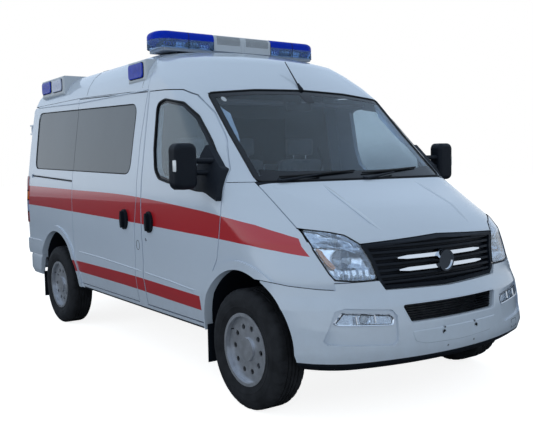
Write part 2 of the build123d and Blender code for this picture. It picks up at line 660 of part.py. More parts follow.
# ---------------------------------------------------------------- rear doors
for name, side in SIDES:
    pane = front_prism(flipped(REAR_WINDOW, side), REAR_Y + 700, TAIL_Y, radius=60)
    opening = front_prism(flipped(REAR_WINDOW, side), REAR_Y + 700, TAIL_Y, grow=-30, radius=40)
    door = cut(common(shell, front_prism(flipped(REAR_DOOR, side), REAR_Y + 700, TAIL_Y)),
               common(rebate, pane), opening)
    fittings = [rear_hinge_leaves(side, z)[0] for z in HINGE_Z]
    if side < 0:
        grip = front_prism(flipped(REAR_HANDLE, side), REAR_Y + 700, TAIL_Y + 100, radius=20)
        fittings.append(common(cut(body_solid(-26), outer), grip))
    keep(joined(door, *fittings), f"rear_door_{name}")
    keep(common(glass_sheet, pane), f"rear_glass_{name}")
tail_form = cut(body_solid(-TAIL_LAMP_RISE), outer)
keep([common(tail_form, front_prism(flipped(TAIL_LAMP, side), REAR_Y + 780, TAIL_Y))
      for _, side in SIDES], "tail_lamps")

# ---------------------------------------------------------------- floor and bulkheads
clear_of_doors = cut(inner, body_solid(WALL + DOOR_CLEAR, ROOF_DROP))
door_clearance = {side: common(clear_of_doors, door_cuts[side]) for _, side in SIDES}
floor_under = FLOOR_TOP - FLOOR_THICKNESS
deck = common(inner, box_between((-FAR, FRONT_Y + 60, floor_under), (FAR, TAIL_Y, FLOOR_TOP)))
sills = common(inner, box_between((-FAR, FRONT_Y + 460, SILL_Z), (FAR, REAR_Y - 480, floor_under)))
bolt_holes = [tube_between((STRETCHER_X + x, STRETCHER_MIDDLE + y, 400),
                           (STRETCHER_X + x, STRETCHER_MIDDLE + y, 700), STRETCHER_BOLT_R)
              for x in (-STRETCHER_BOLTS_X / 2, STRETCHER_BOLTS_X / 2)
              for y in (-STRETCHER_BOLTS_Y / 2, STRETCHER_BOLTS_Y / 2)]
floor = common(cut(joined(deck, sills), rear_doors_cut),
               box_between((-FAR, FRONT_Y, 0), (FAR, REAR_Y + 855, 3000)))
wheel_space = [arch_prism(FRONT_Y, FRONT_ARCH_RADIUS + 20, 540, side=side) for _, side in SIDES]
wheel_space += [arch_prism(REAR_Y, REAR_ARCH_RADIUS + 20, 700, side=side) for _, side in SIDES]
keep(cut(floor, box_between((-850, FRONT_Y, 0), (850, REAR_Y, floor_under)), *wheel_space,
         door_clearance[1], door_clearance[-1], *bolt_holes), "floor")


def wheel_house(axle_y, radius, inner_x, side):
    """Closed cover over a wheel: a round top and a flat inner cheek."""
    cover = cut(arch_prism(axle_y, radius + 8, inner_x - 6, 930, side),
                arch_prism(axle_y, radius + 2, inner_x, 930, side))
    return common(cover, inner, box_between((-FAR, axle_y - 600, SILL_Z),
                                            (FAR, axle_y + 600, 1200)))


covers = []
for _, side in SIDES:
    for axle_y, radius, cheek_x in ((FRONT_Y, FRONT_ARCH_RADIUS, FRONT_CHEEK_X),
                                    (REAR_Y, REAR_ARCH_RADIUS, REAR_CHEEK_X)):
        covers.append(wheel_house(axle_y, radius, cheek_x, side))
        covers.append(side_box(side, (785, axle_y + radius - 9, FLAP_LOW),
                               (945, axle_y + radius - 3, ARCH_CENTRE_Z + 44)))
keep(covers, "wheel_houses")

firewall = cut(common(inner, box_between((-FAR, FRONT_Y + 20, floor_under),
                                         (FAR, FRONT_Y + 55, FIREWALL_TOP))),
               *[arch_prism(FRONT_Y, FRONT_ARCH_RADIUS + 12, 540, side=side)
                 for _, side in SIDES])
partition = cut(common(inner, box_between((-FAR, FRONT_Y + PARTITION_Y, FLOOR_TOP),
                                          (FAR, FRONT_Y + PARTITION_Y + 30, PARTITION_TOP))),
                box_between((-420, FRONT_Y, 1350), (420, REAR_Y, 1800)))
keep([firewall, partition], "bulkheads")

# ---------------------------------------------------------------- seats and fittings
def seat(low, high):
    """Pedestal, cushion, backrest and head restraint across one seat's width."""
    with BuildPart() as form:
        add(box_between((low + 30, FRONT_Y + 900, FLOOR_TOP), (high - 30, FRONT_Y + 1300, 790)))
        for bottom, top, edge in (
                ((low, 800, 780), (high, 1320, 930), 45),
                ((low + 20, 1220, 900), (high - 20, 1345, 1480), 45),
                ((low + 120, 1245, 1470), (high - 120, 1335, 1640), 32)):
            with BuildPart(mode=Mode.PRIVATE) as pad:
                add(box_between((bottom[0], FRONT_Y + bottom[1], bottom[2]),
                                (top[0], FRONT_Y + top[1], top[2])))
                fillet(pad.edges(), edge)
            add(pad.part)
    return form.part


keep([seat(*span) for span in SEATS], "seats")
bench = box_between((330, FRONT_Y + 1700, FLOOR_TOP), (700, REAR_Y + 500, 1020))
cabinet = common(inner, box_between((500, FRONT_Y + 1500, 1950), (FAR, REAR_Y + 700, 2150)))
keep([bench, cabinet], "cabin_furniture")

# ---------------------------------------------------------------- nose panel
carrier = joined(common(inner, box_between((-478, NOSE_Y, 740), (478, FRONT_Y - 456, 940))),
                 common(body_solid(LAMP_DEPTH, ROOF_DROP),
                        box_between((-770, NOSE_Y, 810), (770, FRONT_Y - 456, 940))))
keep(cut(carrier, box_between((-445, FRONT_Y - 525, 430), (445, FRONT_Y - 400, 1000)),
         box_between((-400, NOSE_Y, 770), (400, FRONT_Y - 400, 910))), "nose_panel")

# ---------------------------------------------------------------- chassis
rails = joined(side_box(1, (445, NOSE_Y, 430), (515, REAR_Y + 930, 540)),
               side_box(-1, (445, NOSE_Y, 430), (515, REAR_Y + 930, 540)))
within = joined(bumper_inner, box_between((-600, FRONT_Y, 0), (600, TAIL_Y, 600)))
cross_members = [box_between((-445, y - 40, 450), (445, y + 40, 530))
                 for y in (FRONT_Y + 700, FRONT_Y + 1500, REAR_Y - 700, REAR_Y + 860)]
keep(joined(common(rails, within), *cross_members), "chassis_frame")
engine = joined(box_between((-330, FRONT_Y - 470, 420), (330, FRONT_Y - 90, 960)),
                box_between((-445, FRONT_Y - 300, 450), (445, FRONT_Y - 240, 520)))
radiator = box_between((-445, FRONT_Y - 525, 430), (445, FRONT_Y - 485, 940))
keep([engine, radiator], "engine")

# ---------------------------------------------------------------- wheels
# Wheels are drawn about their own middle, with +X pointing outboard on the left.
def tyre_at(centre, side):
    """Tyre: a revolved band from bead to tread."""
    half = TYRE_WIDTH / 2
    with BuildPart() as tyre:
        with BuildSketch(Plane(origin=centre, x_dir=(side, 0, 0), z_dir=(0, -side, 0))):
            with BuildLine():
                Polyline((-RIM_WIDTH / 2 + 1, BEAD_RADIUS + FIT), (-RIM_WIDTH / 2 + 1, 228),
                         (-half + 4, 250))
                ThreePointArc((-half + 4, 250), (-half, 280), (-half + 4, 305))
                Polyline((-half + 4, 305), (-half + 14, 334), (-half + 28, 349),
                         (-half + 46, TYRE_RADIUS), (half - 46, TYRE_RADIUS), (half - 28, 349),
                         (half - 14, 334), (half - 4, 305))
                ThreePointArc((half - 4, 305), (half, 280), (half - 4, 250))
                Polyline((half - 4, 250), (RIM_WIDTH / 2 - 1, 228),
                         (RIM_WIDTH / 2 - 1, BEAD_RADIUS + FIT),
                         (-RIM_WIDTH / 2 + 1, BEAD_RADIUS + FIT))
            make_face()
        revolve(axis=Axis(centre, (1, 0, 0)))
    return tyre.part


def rim_at(centre, side):
    """Steel wheel with its holes, plain cap, hub and brake disc."""
    edge = RIM_WIDTH / 2
    face = edge - DISH_DEPTH
    turned = Plane(origin=centre, x_dir=(0, side, 0), z_dir=(side, 0, 0))
    with BuildPart() as rim:
        with BuildSketch(Plane(origin=centre, x_dir=(side, 0, 0), z_dir=(0, -side, 0))):
            with BuildLine():
                Polyline((-edge, BEAD_RADIUS - 8), (-edge, RIM_FLANGE_RADIUS),
                         (-edge - 6, RIM_FLANGE_RADIUS), (-edge - 6, BEAD_RADIUS - 8),
                         (-edge, BEAD_RADIUS - 8))
            make_face()
            with BuildLine():
                Polyline((-edge, BEAD_RADIUS - 8), (-edge, BEAD_RADIUS), (edge, BEAD_RADIUS),
                         (edge, RIM_FLANGE_RADIUS), (edge + 6, RIM_FLANGE_RADIUS),
                         (edge + 6, BEAD_RADIUS - 8), (-edge, BEAD_RADIUS - 8))
            make_face()
        revolve(axis=Axis(centre, (1, 0, 0)))
        with BuildSketch(turned.offset(face - 10)):
            Circle(BEAD_RADIUS - 4)
            with PolarLocations(HOLE_CIRCLE, HOLE_COUNT):
                Circle(HOLE_RADIUS, mode=Mode.SUBTRACT)
        extrude(amount=10)
        with BuildSketch(turned.offset(HUB_START)):
            Circle(HUB_RADIUS)
        extrude(amount=face + CAP_RISE - HUB_START)
        with BuildSketch(turned.offset(DISC_START)):
            Circle(DISC_RADIUS)
        extrude(amount=DISC_THICKNESS)
        with BuildSketch(turned.offset(HUB_START)):
            Circle(SPINDLE_RADIUS + RUNNING)
        extrude(amount=SPINDLE_END + 2 - HUB_START, mode=Mode.SUBTRACT)
    return rim.part


for axle, axle_y in (("front", FRONT_Y), ("rear", REAR_Y)):
    for name, side in SIDES:
        centre = (side * HALF_TRACK, axle_y, HUB_Z)
        keep(tyre_at(centre, side), f"tyre_{axle}_{name}")
        keep(rim_at(centre, side), f"wheel_{axle}_{name}")

# ---------------------------------------------------------------- front suspension
for name, side in SIDES:
    hub_x = HALF_TRACK
    caliper = cut(side_box(side, (hub_x - 40, FRONT_Y + 92, HUB_Z - 55),
                           (hub_x + 22, FRONT_Y + 178, HUB_Z + 55)),
                  tube_between((side * (hub_x + DISC_START - 6), FRONT_Y, HUB_Z),
                               (side * (hub_x + DISC_START + DISC_THICKNESS + 6), FRONT_Y, HUB_Z),
                               DISC_RADIUS + 6))
    upright = side_box(side, (KINGPIN_X - 18, FRONT_Y - 45, HUB_Z - 80),
                       (KINGPIN_X + 20, FRONT_Y + 45, HUB_Z + 80))
    spindle = tube_between((side * (KINGPIN_X + 10), FRONT_Y, HUB_Z),
                           (side * (hub_x + SPINDLE_END), FRONT_Y, HUB_Z), SPINDLE_RADIUS)
    brackets = [side_box(side, (KINGPIN_X - 10, FRONT_Y + 40, HUB_Z - 30),
                         (KINGPIN_X + 12, FRONT_Y + 130, HUB_Z + 30)),
                side_box(side, (KINGPIN_X, FRONT_Y + 96, HUB_Z - 30),
                         (hub_x - 38, FRONT_Y + 130, HUB_Z + 30)),
                side_box(side, (STRUT_X - 10, FRONT_Y - 22, HUB_Z + 15),
                         (KINGPIN_X, FRONT_Y + 22, HUB_Z + 70))]
    strut = [tube_between((side * STRUT_X, FRONT_Y, HUB_Z + 10),
                          (side * STRUT_X, FRONT_Y, STRUT_TOP), 24),
             tube_between((side * STRUT_X, FRONT_Y, 2 * TYRE_RADIUS + 14),
                          (side * STRUT_X, FRONT_Y, STRUT_TOP - 5), 56),
             tube_between((side * KINGPIN_X, FRONT_Y, BALL_Z - 16),
                          (side * KINGPIN_X, FRONT_Y, HUB_Z - 70), BALL_RADIUS)]
    keep(joined(upright, spindle, caliper, *brackets, *strut), f"knuckle_{name}")

with BuildPart() as subframe:
    with Locations((0, FRONT_Y, 375)):
        Box(2 * 445, 150, 110)
    for _, side in SIDES:
        with BuildSketch(Plane.XY.offset(BALL_Z - 12)):
            with BuildLine():
                Polyline((side * 380, FRONT_Y - 110), (side * 380, FRONT_Y + 190),
                         (side * (KINGPIN_X - 10), FRONT_Y + 30),
                         (side * (KINGPIN_X - 10), FRONT_Y - 30), close=True)
            make_face()
        extrude(amount=24)
        with BuildSketch(Plane.XY.offset(BALL_Z - 12)):
            with Locations((side * KINGPIN_X, FRONT_Y)):
                Circle(32)
        extrude(amount=24)
        with BuildSketch(Plane.XY.offset(BALL_Z - 30)):
            with Locations((side * KINGPIN_X, FRONT_Y)):
                Circle(BALL_RADIUS + RUNNING)
        extrude(amount=60, mode=Mode.SUBTRACT)
    with Locations((0, FRONT_Y + 40, 288)):
        Box(2 * 430, 300, 66)
keep(subframe.part, "front_subframe")

# ---------------------------------------------------------------- rear axle
with BuildPart() as axle_beam:
    with BuildSketch(Plane.YZ.offset(-BEAM_HALF)):
        with Locations((REAR_Y, BEAM_Z)):
            Circle(BEAM_RADIUS)
    extrude(amount=2 * BEAM_HALF)
    for _, side in SIDES:
        ends = sorted((side * (BEAM_HALF - 20), side * (BEAM_HALF + 30)))
        with Locations(((ends[0] + ends[1]) / 2, REAR_Y, (BEAM_Z + HUB_Z) / 2 - 5)):
            Box(50, 120, HUB_Z - BEAM_Z + 80)
        with BuildSketch(Plane.YZ.offset(side * (BEAM_HALF + 20))):
            with Locations((REAR_Y, HUB_Z)):
                Circle(SPINDLE_RADIUS)
        extrude(amount=side * (HALF_TRACK + SPINDLE_END - BEAM_HALF - 20))
        with BuildSketch(Plane.YZ.offset(side * (HALF_TRACK - 48))):
            with Locations((REAR_Y, HUB_Z)):
                Circle(DISC_RADIUS)
        extrude(amount=side * 12)
        with Locations((side * SPRING_X, REAR_Y, BEAM_Z + BEAM_RADIUS)):
            Box(80, 110, 12)
keep(axle_beam.part, "rear_axle")

with BuildPart() as springs:
    for _, side in SIDES:
        low = BEAM_Z + BEAM_RADIUS + 6
        with BuildSketch(Plane.YZ.offset(side * SPRING_X - 32)):
            with BuildLine():
                ThreePointArc((REAR_Y - 640, low + 85), (REAR_Y, low), (REAR_Y + 640, low + 85))
                Line((REAR_Y + 640, low + 85), (REAR_Y + 640, low + 97))
                ThreePointArc((REAR_Y + 640, low + 97), (REAR_Y, low + 30), (REAR_Y - 640, low + 97))
                Line((REAR_Y - 640, low + 97), (REAR_Y - 640, low + 85))
            make_face()
        extrude(amount=64)
        for y in (REAR_Y - 640, REAR_Y + 640):
            with BuildSketch(Plane.YZ.offset(side * SPRING_X - 34)):
                with Locations((y, low + 91)):
                    Circle(22)
            extrude(amount=68)
            with Locations((side * (515 + (SPRING_X + 34 - 515) / 2), y, 480)):
                Box(SPRING_X + 34 - 515, 60, 80)
keep(springs.part, "leaf_springs")

# ---------------------------------------------------------------- under the floor
with BuildPart() as exhaust:
    with BuildLine() as route:
        FilletPolyline((PIPE_X, FRONT_Y + DOWNPIPE_Y, 420 - FIT), (PIPE_X, FRONT_Y + DOWNPIPE_Y, PIPE_LOW),
                       (PIPE_X, FRONT_Y + 420, PIPE_LOW), (PIPE_X, FRONT_Y + 620, PIPE_HIGH),
                       (PIPE_X, REAR_Y - 900, PIPE_HIGH), radius=60)
    with BuildSketch(Plane(origin=route.line @ 0, z_dir=route.line % 0)):
        Circle(PIPE_RADIUS)
    sweep()
    with Locations((PIPE_X, REAR_Y - 680, PIPE_HIGH)):
        Box(300, 460, 130)
    with BuildLine() as tail:
        FilletPolyline((-280, REAR_Y - 470, 350), (-280, REAR_Y - 250, 398),
                       (-280, REAR_Y + 250, 398), (-280, REAR_Y + 500, 350),
                       (-280, REAR_Y + 900, 350), radius=90)
    with BuildSketch(Plane(origin=tail.line @ 0, z_dir=tail.line % 0)):
        Circle(PIPE_RADIUS)
    sweep()
keep(exhaust.part, "exhaust")

with BuildPart() as tank:
    with Locations((685, FRONT_Y + 1900, 430)):
        Box(330, 760, 220)
    fillet(tank.edges().filter_by(Axis.Y), 30)
keep(tank.part, "fuel_tank")

# ---------------------------------------------------------------- steering wheel
column_axis = Vector(0, cos(radians(COLUMN_TILT)), sin(radians(COLUMN_TILT)))
wheel_middle = Vector(DRIVER_X, FRONT_Y + STEERING_Y, STEERING_Z)
wheel_plane = Plane(origin=wheel_middle, x_dir=(1, 0, 0), z_dir=column_axis)
with BuildPart() as steering_wheel:
    with BuildSketch(Plane(origin=wheel_middle + Vector(STEERING_RADIUS, 0, 0), x_dir=(1, 0, 0),
                           z_dir=wheel_plane.y_dir)):
        Circle(15)
    revolve(axis=Axis(wheel_middle, column_axis))
    with BuildSketch(wheel_plane.offset(-30)):
        Circle(60)
    extrude(amount=34)
    with BuildSketch(wheel_plane.offset(-12)):
        with Locations((0, 0)):
            Rectangle(2 * STEERING_RADIUS, 34)
        with Locations((0, -STEERING_RADIUS / 2)):
            Rectangle(34, STEERING_RADIUS)
    extrude(amount=12)
    with BuildSketch(wheel_plane.offset(-40)):
        Circle(COLUMN_RADIUS + RUNNING)
    extrude(amount=32, mode=Mode.SUBTRACT)
keep(steering_wheel.part, "steering_wheel")
with BuildPart() as column:
    with BuildSketch(wheel_plane.offset(-10)):
        Circle(COLUMN_RADIUS)
    extrude(amount=-60)
    with BuildSketch(wheel_plane.offset(-36)):
        Circle(34)
    extrude(amount=-COLUMN_LENGTH)
dashboard = common(inner, box_between((-FAR, FRONT_Y + 55, 980), (FAR, FRONT_Y + 470, 1270)))
dashboard = cut(dashboard, pillar_feet[1], pillar_feet[-1], door_clearance[1],
                door_clearance[-1])
keep(joined(dashboard, column.part), "dashboard")

# ---------------------------------------------------------------- roof lights
bar_y = FRONT_Y + LIGHT_BAR_Y
lens_z = LIGHT_BAR_Z + BASE_HEIGHT
feet = [side_box(side, (FOOT_X - 50, bar_y - 60, 2100), (FOOT_X + 50, bar_y + 60, LIGHT_BAR_Z))
        for _, side in SIDES]
deck_half = LIGHT_BAR_DEPTH / 2 - 16
base = joined(box_between((-LIGHT_BAR_HALF + 60, bar_y - deck_half, LIGHT_BAR_Z),
                          (LIGHT_BAR_HALF - 60, bar_y + deck_half, lens_z - FIT)), *feet)
keep(cut(base, outer), "light_bar_base")
lens_length = LIGHT_BAR_HALF - CENTRE_HALF - MODULE_GAP
with BuildPart() as lenses:
    with BuildSketch(Plane.XY.offset(lens_z)):
        for _, side in SIDES:
            with Locations((side * (LIGHT_BAR_HALF - lens_length / 2), bar_y)):
                Rectangle(lens_length, LIGHT_BAR_DEPTH)
    extrude(amount=LENS_HEIGHT)
    ends = lenses.edges().filter_by(Axis.Z).group_by(Axis.X)
    fillet(ends[0] + ends[-1], LENS_END_RADIUS)
    tops = lenses.faces().filter_by(Axis.Z).group_by(Axis.Z)[-1]
    fillet([edge for edge in tops.edges() if abs((edge @ 0.5).X) > CENTRE_HALF + MODULE_GAP + 1],
           LENS_TOP_RADIUS)
keep(cut(lenses.part, outer), "light_bar_lenses")
with BuildPart() as speaker:
    with Locations((0, bar_y, lens_z + LENS_HEIGHT / 2)):
        Box(2 * CENTRE_HALF, LIGHT_BAR_DEPTH - 8, LENS_HEIGHT)
    fillet(speaker.faces().sort_by(Axis.Z)[-1].edges().filter_by(Axis.X), 42)
keep(cut(speaker.part, outer), "light_bar_speaker")

# Side lamps: (middle y, middle z, outer x) of each lens on the left side.
BEACONS = ((FRONT_Y + 1500, 2130, 884), (REAR_Y + 138, 2200, 862), (REAR_Y + 432, 2206, 862))
HOUSINGS = (((FRONT_Y + 1352, 2048), (FRONT_Y + 1648, 2205), 870),
            ((REAR_Y - 12, 2110), (REAR_Y + 582, 2280), 848))
housings, lamps = [], []
for _, side in SIDES:
    for (y_low, z_low), (y_high, z_high), x_out in HOUSINGS:
        with BuildPart() as housing:
            add(side_box(side, (500, y_low, z_low), (x_out, y_high, z_high)))
            fillet(housing.faces().sort_by(Axis.X)[-1 if side > 0 else 0].edges(), 18)
        housings.append(cut(housing.part, outer))
    for y, z, x_out in BEACONS:
        with BuildPart() as lamp:
            with Locations((side * (x_out - BEACON_PROUD / 2 + FIT / 2), y, z)):
                Box(BEACON_PROUD - FIT, *BEACON_LENS)
            fillet(lamp.edges().filter_by(Axis.X), 26)
            fillet(lamp.faces().sort_by(Axis.X)[-1 if side > 0 else 0].edges(), 6)
        lamps.append(lamp.part)
keep(housings, "beacon_housings")
keep(lamps, "side_beacons")
whip = tube_between((0, FRONT_Y + 700, 1948), (0, FRONT_Y + 831, 2169), 4)
keep(cut(joined(whip, tube_between((0, FRONT_Y + 690, 1930), (0, FRONT_Y + 712, 1972), 20)),
         outer), "antenna")
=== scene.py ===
"""Short panel-van ambulance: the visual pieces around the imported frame.

Sizes and places are in mm; meshes are in metres.
"""
import math

import bmesh
import bpy
import numpy as np
from mathutils import Matrix, Vector
from mathutils.geometry import delaunay_2d_cdt


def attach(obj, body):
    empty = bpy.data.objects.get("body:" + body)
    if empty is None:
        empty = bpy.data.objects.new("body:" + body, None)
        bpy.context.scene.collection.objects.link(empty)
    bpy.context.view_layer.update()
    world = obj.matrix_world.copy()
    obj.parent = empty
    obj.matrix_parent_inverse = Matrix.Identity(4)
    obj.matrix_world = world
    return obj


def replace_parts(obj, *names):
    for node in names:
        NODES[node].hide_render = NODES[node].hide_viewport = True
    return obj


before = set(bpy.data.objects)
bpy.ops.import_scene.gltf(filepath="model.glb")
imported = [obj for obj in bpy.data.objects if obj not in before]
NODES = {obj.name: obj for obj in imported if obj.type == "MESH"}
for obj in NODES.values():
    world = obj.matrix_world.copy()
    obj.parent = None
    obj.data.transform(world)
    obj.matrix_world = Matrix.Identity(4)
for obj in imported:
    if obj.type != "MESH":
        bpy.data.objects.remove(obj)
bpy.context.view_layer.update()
AXLE_Y = {"front": -1688.0, "rear": 1412.0}
F, R = AXLE_Y["front"], AXLE_Y["rear"]
SIDES = (("left", 1), ("right", -1))


# ------------------------------------------------------------------ materials
def shader_node(tree, kind, values=None, links=None, **settings):
    """A shader node with its settings, then its sockets' values, then its links."""
    made = tree.nodes.new("ShaderNode" + kind)
    for name, value in settings.items():
        setattr(made, name, value)
    for socket, value in (values or {}).items():
        made.inputs[socket].default_value = value
    for socket, source in (links or {}).items():
        tree.links.new(source, made.inputs[socket])
    return made


M = {}


def new_material(name):
    material = M[name] = bpy.data.materials.new(name)
    material.use_nodes = True
    tree = material.node_tree
    tree.nodes.clear()
    shader = shader_node(tree, "BsdfPrincipled")
    shader_node(tree, "OutputMaterial", links={0: shader.outputs[0]})
    return material, tree, shader


def coordinates(tree):
    place = shader_node(tree, "TexCoord")
    return shader_node(tree, "Mapping", links={"Vector": place.outputs["Object"]}).outputs["Vector"]


def noise(tree, vector, scale, detail, rough=0.5):
    values = {"Scale": scale, "Detail": detail, "Roughness": rough}
    return shader_node(tree, "TexNoise", values, {"Vector": vector}).outputs["Fac"]


def ramp(tree, value, stops):
    made = shader_node(tree, "ValToRGB", links={"Fac": value})
    elements = made.color_ramp.elements
    while len(elements) < len(stops):
        elements.new(0.5)
    for element, (place, colour) in zip(elements, stops):
        element.position = place
        element.color = (*colour, 1)
    return made.outputs["Color"]


def spread(tree, value, low, high, to_low, to_high):
    limits = {"From Min": low, "From Max": high, "To Min": to_low, "To Max": to_high}
    return shader_node(tree, "MapRange", limits, {"Value": value}).outputs["Result"]


def bump(tree, shader, height, distance):
    made = shader_node(tree, "Bump", {"Distance": distance, "Strength": 1.0}, {"Height": height})
    tree.links.new(made.outputs["Normal"], shader.inputs["Normal"])


def surface(name, colour, rough, metal=0.0, vary=0.06, vary_scale=3.0, grain=0.0, grain_scale=900.0,
            coat=0.0, rough_spread=0.05, **sockets):
    """A procedural finish: mottled colour, uneven roughness and an optional moulded grain."""
    material, tree, shader = new_material(name)
    vector = coordinates(tree)
    dark = tuple(c * (1 - vary) for c in colour)
    light = tuple(min(1, c * (1 + vary)) for c in colour)
    cloud = noise(tree, vector, vary_scale, 5.0)
    tree.links.new(ramp(tree, cloud, ((0.35, dark), (0.65, light))), shader.inputs["Base Color"])
    fine = noise(tree, vector, vary_scale * 9, 3.0)
    tree.links.new(spread(tree, fine, 0.3, 0.7, max(rough - rough_spread, 0), rough + rough_spread),
                   shader.inputs["Roughness"])
    shader.inputs["Metallic"].default_value = metal
    shader.inputs["Coat Weight"].default_value = coat
    shader.inputs["Coat Roughness"].default_value = 0.05
    for socket, number in sockets.items():
        shader.inputs[socket.replace("_", " ")].default_value = number
    if grain:
        bump(tree, shader, noise(tree, vector, grain_scale, 2.0), grain)
    return material


DUST = (0.30, 0.29, 0.27, 1)
DUST_HEIGHTS = (0.34, 0.85)    # full and none, in metres


def painted(name, colour, dirt=0.35):
    """Car paint under a clear coat, a little road dust low down."""
    material, tree, shader = new_material(name)
    vector = coordinates(tree)
    dark = tuple(c * 0.965 for c in colour)
    base = ramp(tree, noise(tree, vector, 1.3, 4.0), ((0.3, dark), (0.7, colour)))
    height = shader_node(tree, "SeparateXYZ", links={0: vector}).outputs["Z"]
    low = spread(tree, height, *DUST_HEIGHTS, dirt, 0.0)
    speck = noise(tree, vector, 14.0, 6.0, 0.7)
    dust = shader_node(tree, "Math", links={0: low, 1: speck}, operation="MULTIPLY").outputs[0]
    mix = shader_node(tree, "Mix", {"B": DUST}, {"Factor": dust, "A": base}, data_type="RGBA")
    tree.links.new(mix.outputs["Result"], shader.inputs["Base Color"])
    tree.links.new(spread(tree, dust, 0.0, 0.3, 0.32, 0.6), shader.inputs["Roughness"])
    shader.inputs["Coat Weight"].default_value = 1.0
    shader.inputs["Coat Roughness"].default_value = 0.03
    bump(tree, shader, noise(tree, vector, 420.0, 2.0), 0.00002)
    return material


def glass(name, colour, transmission, rough=0.0, ior=1.5):
    material, tree, shader = new_material(name)
    dark = tuple(c * 0.93 for c in colour)
    cloud = noise(tree, coordinates(tree), 2.0, 3.0)
    tree.links.new(ramp(tree, cloud, ((0.3, dark), (0.7, colour))), shader.inputs["Base Color"])
    shader.inputs["Transmission Weight"].default_value = transmission
    shader.inputs["Roughness"].default_value = rough
    shader.inputs["IOR"].default_value = ior
    return material


painted("paint_white", (0.61, 0.70, 0.83))
painted("paint_red", (0.50, 0.007, 0.014), 0.15)
surface("black_gloss", (0.006, 0.008, 0.012), 0.2, Specular_IOR_Level=0.3)
surface("black_plastic", (0.007, 0.010, 0.016), 0.55, Specular_IOR_Level=0.2, grain=0.0001,
        grain_scale=1400)
surface("rubber", (0.011, 0.012, 0.014), 0.65, Specular_IOR_Level=0.25, vary=0.15, grain=0.00008)
surface("dark_steel", (0.035, 0.036, 0.04), 0.5, metal=0.2, vary=0.25, vary_scale=9)
surface("cast", (0.11, 0.11, 0.115), 0.6, metal=0.7, vary=0.2, vary_scale=14, grain=0.0004,
        grain_scale=300)
surface("floor_sheet", (0.20, 0.21, 0.23), 0.6, vary=0.2, vary_scale=60, grain=0.0002, grain_scale=500)
surface("cloth", (0.13, 0.14, 0.16), 0.9, vary=0.2, vary_scale=40, grain=0.0006, grain_scale=1100,
        Sheen_Weight=0.35)
surface("cabinet", (0.55, 0.60, 0.66), 0.4, vary=0.04)
surface("wheel_silver", (0.50, 0.52, 0.56), 0.38, metal=0.7, vary=0.12, vary_scale=22, coat=0.3)
surface("exhaust", (0.30, 0.29, 0.28), 0.45, metal=0.9, vary=0.25, vary_scale=20)
surface("chrome", (0.72, 0.74, 0.77), 0.08, metal=1.0, vary=0.03, rough_spread=0.03)
surface("grey_plastic", (0.33, 0.37, 0.43), 0.5)
surface("lens_blue", (0.006, 0.035, 0.46), 0.12, Specular_IOR_Level=0.35, vary=0.1, vary_scale=30)
surface("lens_red", (0.30, 0.008, 0.012), 0.12, coat=1.0, vary=0.1, vary_scale=30)
surface("lens_pale", (0.36, 0.42, 0.62), 0.12, coat=1.0, vary=0.1, vary_scale=30)
surface("amber", (0.75, 0.22, 0.02), 0.15, coat=1.0)
surface("glass_dark", (0.105, 0.125, 0.145), 0.04, vary=0.08, vary_scale=1.0, rough_spread=0.02)
surface("glass_bright", (0.85, 0.88, 0.92), 0.06, coat=1.0, vary=0.05, vary_scale=60)
surface("tyre", (0.017, 0.018, 0.021), 0.78, Specular_IOR_Level=0.25, vary=0.3, vary_scale=12,
        grain=0.0003, grain_scale=700)
surface("reflector", (0.62, 0.66, 0.72), 0.18, metal=0.9, vary=0.1, vary_scale=30)
surface("mirror", (0.75, 0.77, 0.80), 0.03, metal=1.0, vary=0.01, rough_spread=0.01)
surface("interior", (0.055, 0.060, 0.075), 0.7, vary=0.12, grain=0.0002, grain_scale=300)
surface("visor_grey", (0.20, 0.21, 0.23), 0.8, grain=0.0003, grain_scale=500)
glass("lamp_glass", (0.80, 0.86, 0.92), 0.95)
glass("glass_clear", (0.62, 0.74, 0.80), 0.9)
glass("screen", (0.62, 0.70, 0.76), 0.96, ior=1.2)
glass("lens_blue_clear", (0.003, 0.045, 0.72), 0.30, rough=0.08, ior=1.15)
glass("lens_clear_blue", (0.52, 0.72, 1.0), 0.86, rough=0.03, ior=1.08)
NODE_MATERIAL = {node: material for material, nodes in (
    ("black_plastic", "antenna cowl fuel_tank grille steering_wheel wheel_houses slide_handle"),
    ("black_plastic", "door_trim_left door_trim_right"),
    ("cabinet", "cabin_furniture light_bar_speaker beacon_housings"),
    ("cast", "engine knuckle_left knuckle_right"),
    ("chrome", "grille_trim"),
    ("cloth", "seats"),
    ("dark_steel", "chassis_frame front_subframe leaf_springs nose_panel rear_axle"),
    ("exhaust", "exhaust"),
    ("floor_sheet", "floor"),
    ("glass_clear", "door_glass_left door_glass_right"),
    ("glass_dark", "rear_glass_left rear_glass_right side_glass"),
    ("grey_plastic", "light_bar_base"),
    ("interior", "bulkheads dashboard"),
    ("lamp_glass", "headlamps fog_lamps"),
    ("lens_blue", "light_bar_lenses side_beacons"),
    ("lens_red", "tail_lamps"),
    ("screen", "windscreen"),
    ("tyre", "tyre_front_left tyre_front_right tyre_rear_left tyre_rear_right"),
    ("wheel_silver", "wheel_front_left wheel_front_right wheel_rear_left wheel_rear_right"),
) for node in nodes.split()}


def dress(obj, material):
    obj.data.materials.clear()
    obj.data.materials.append(material)


for node in NODES:
    dress(NODES[node], M[NODE_MATERIAL.get(node, "paint_white")])


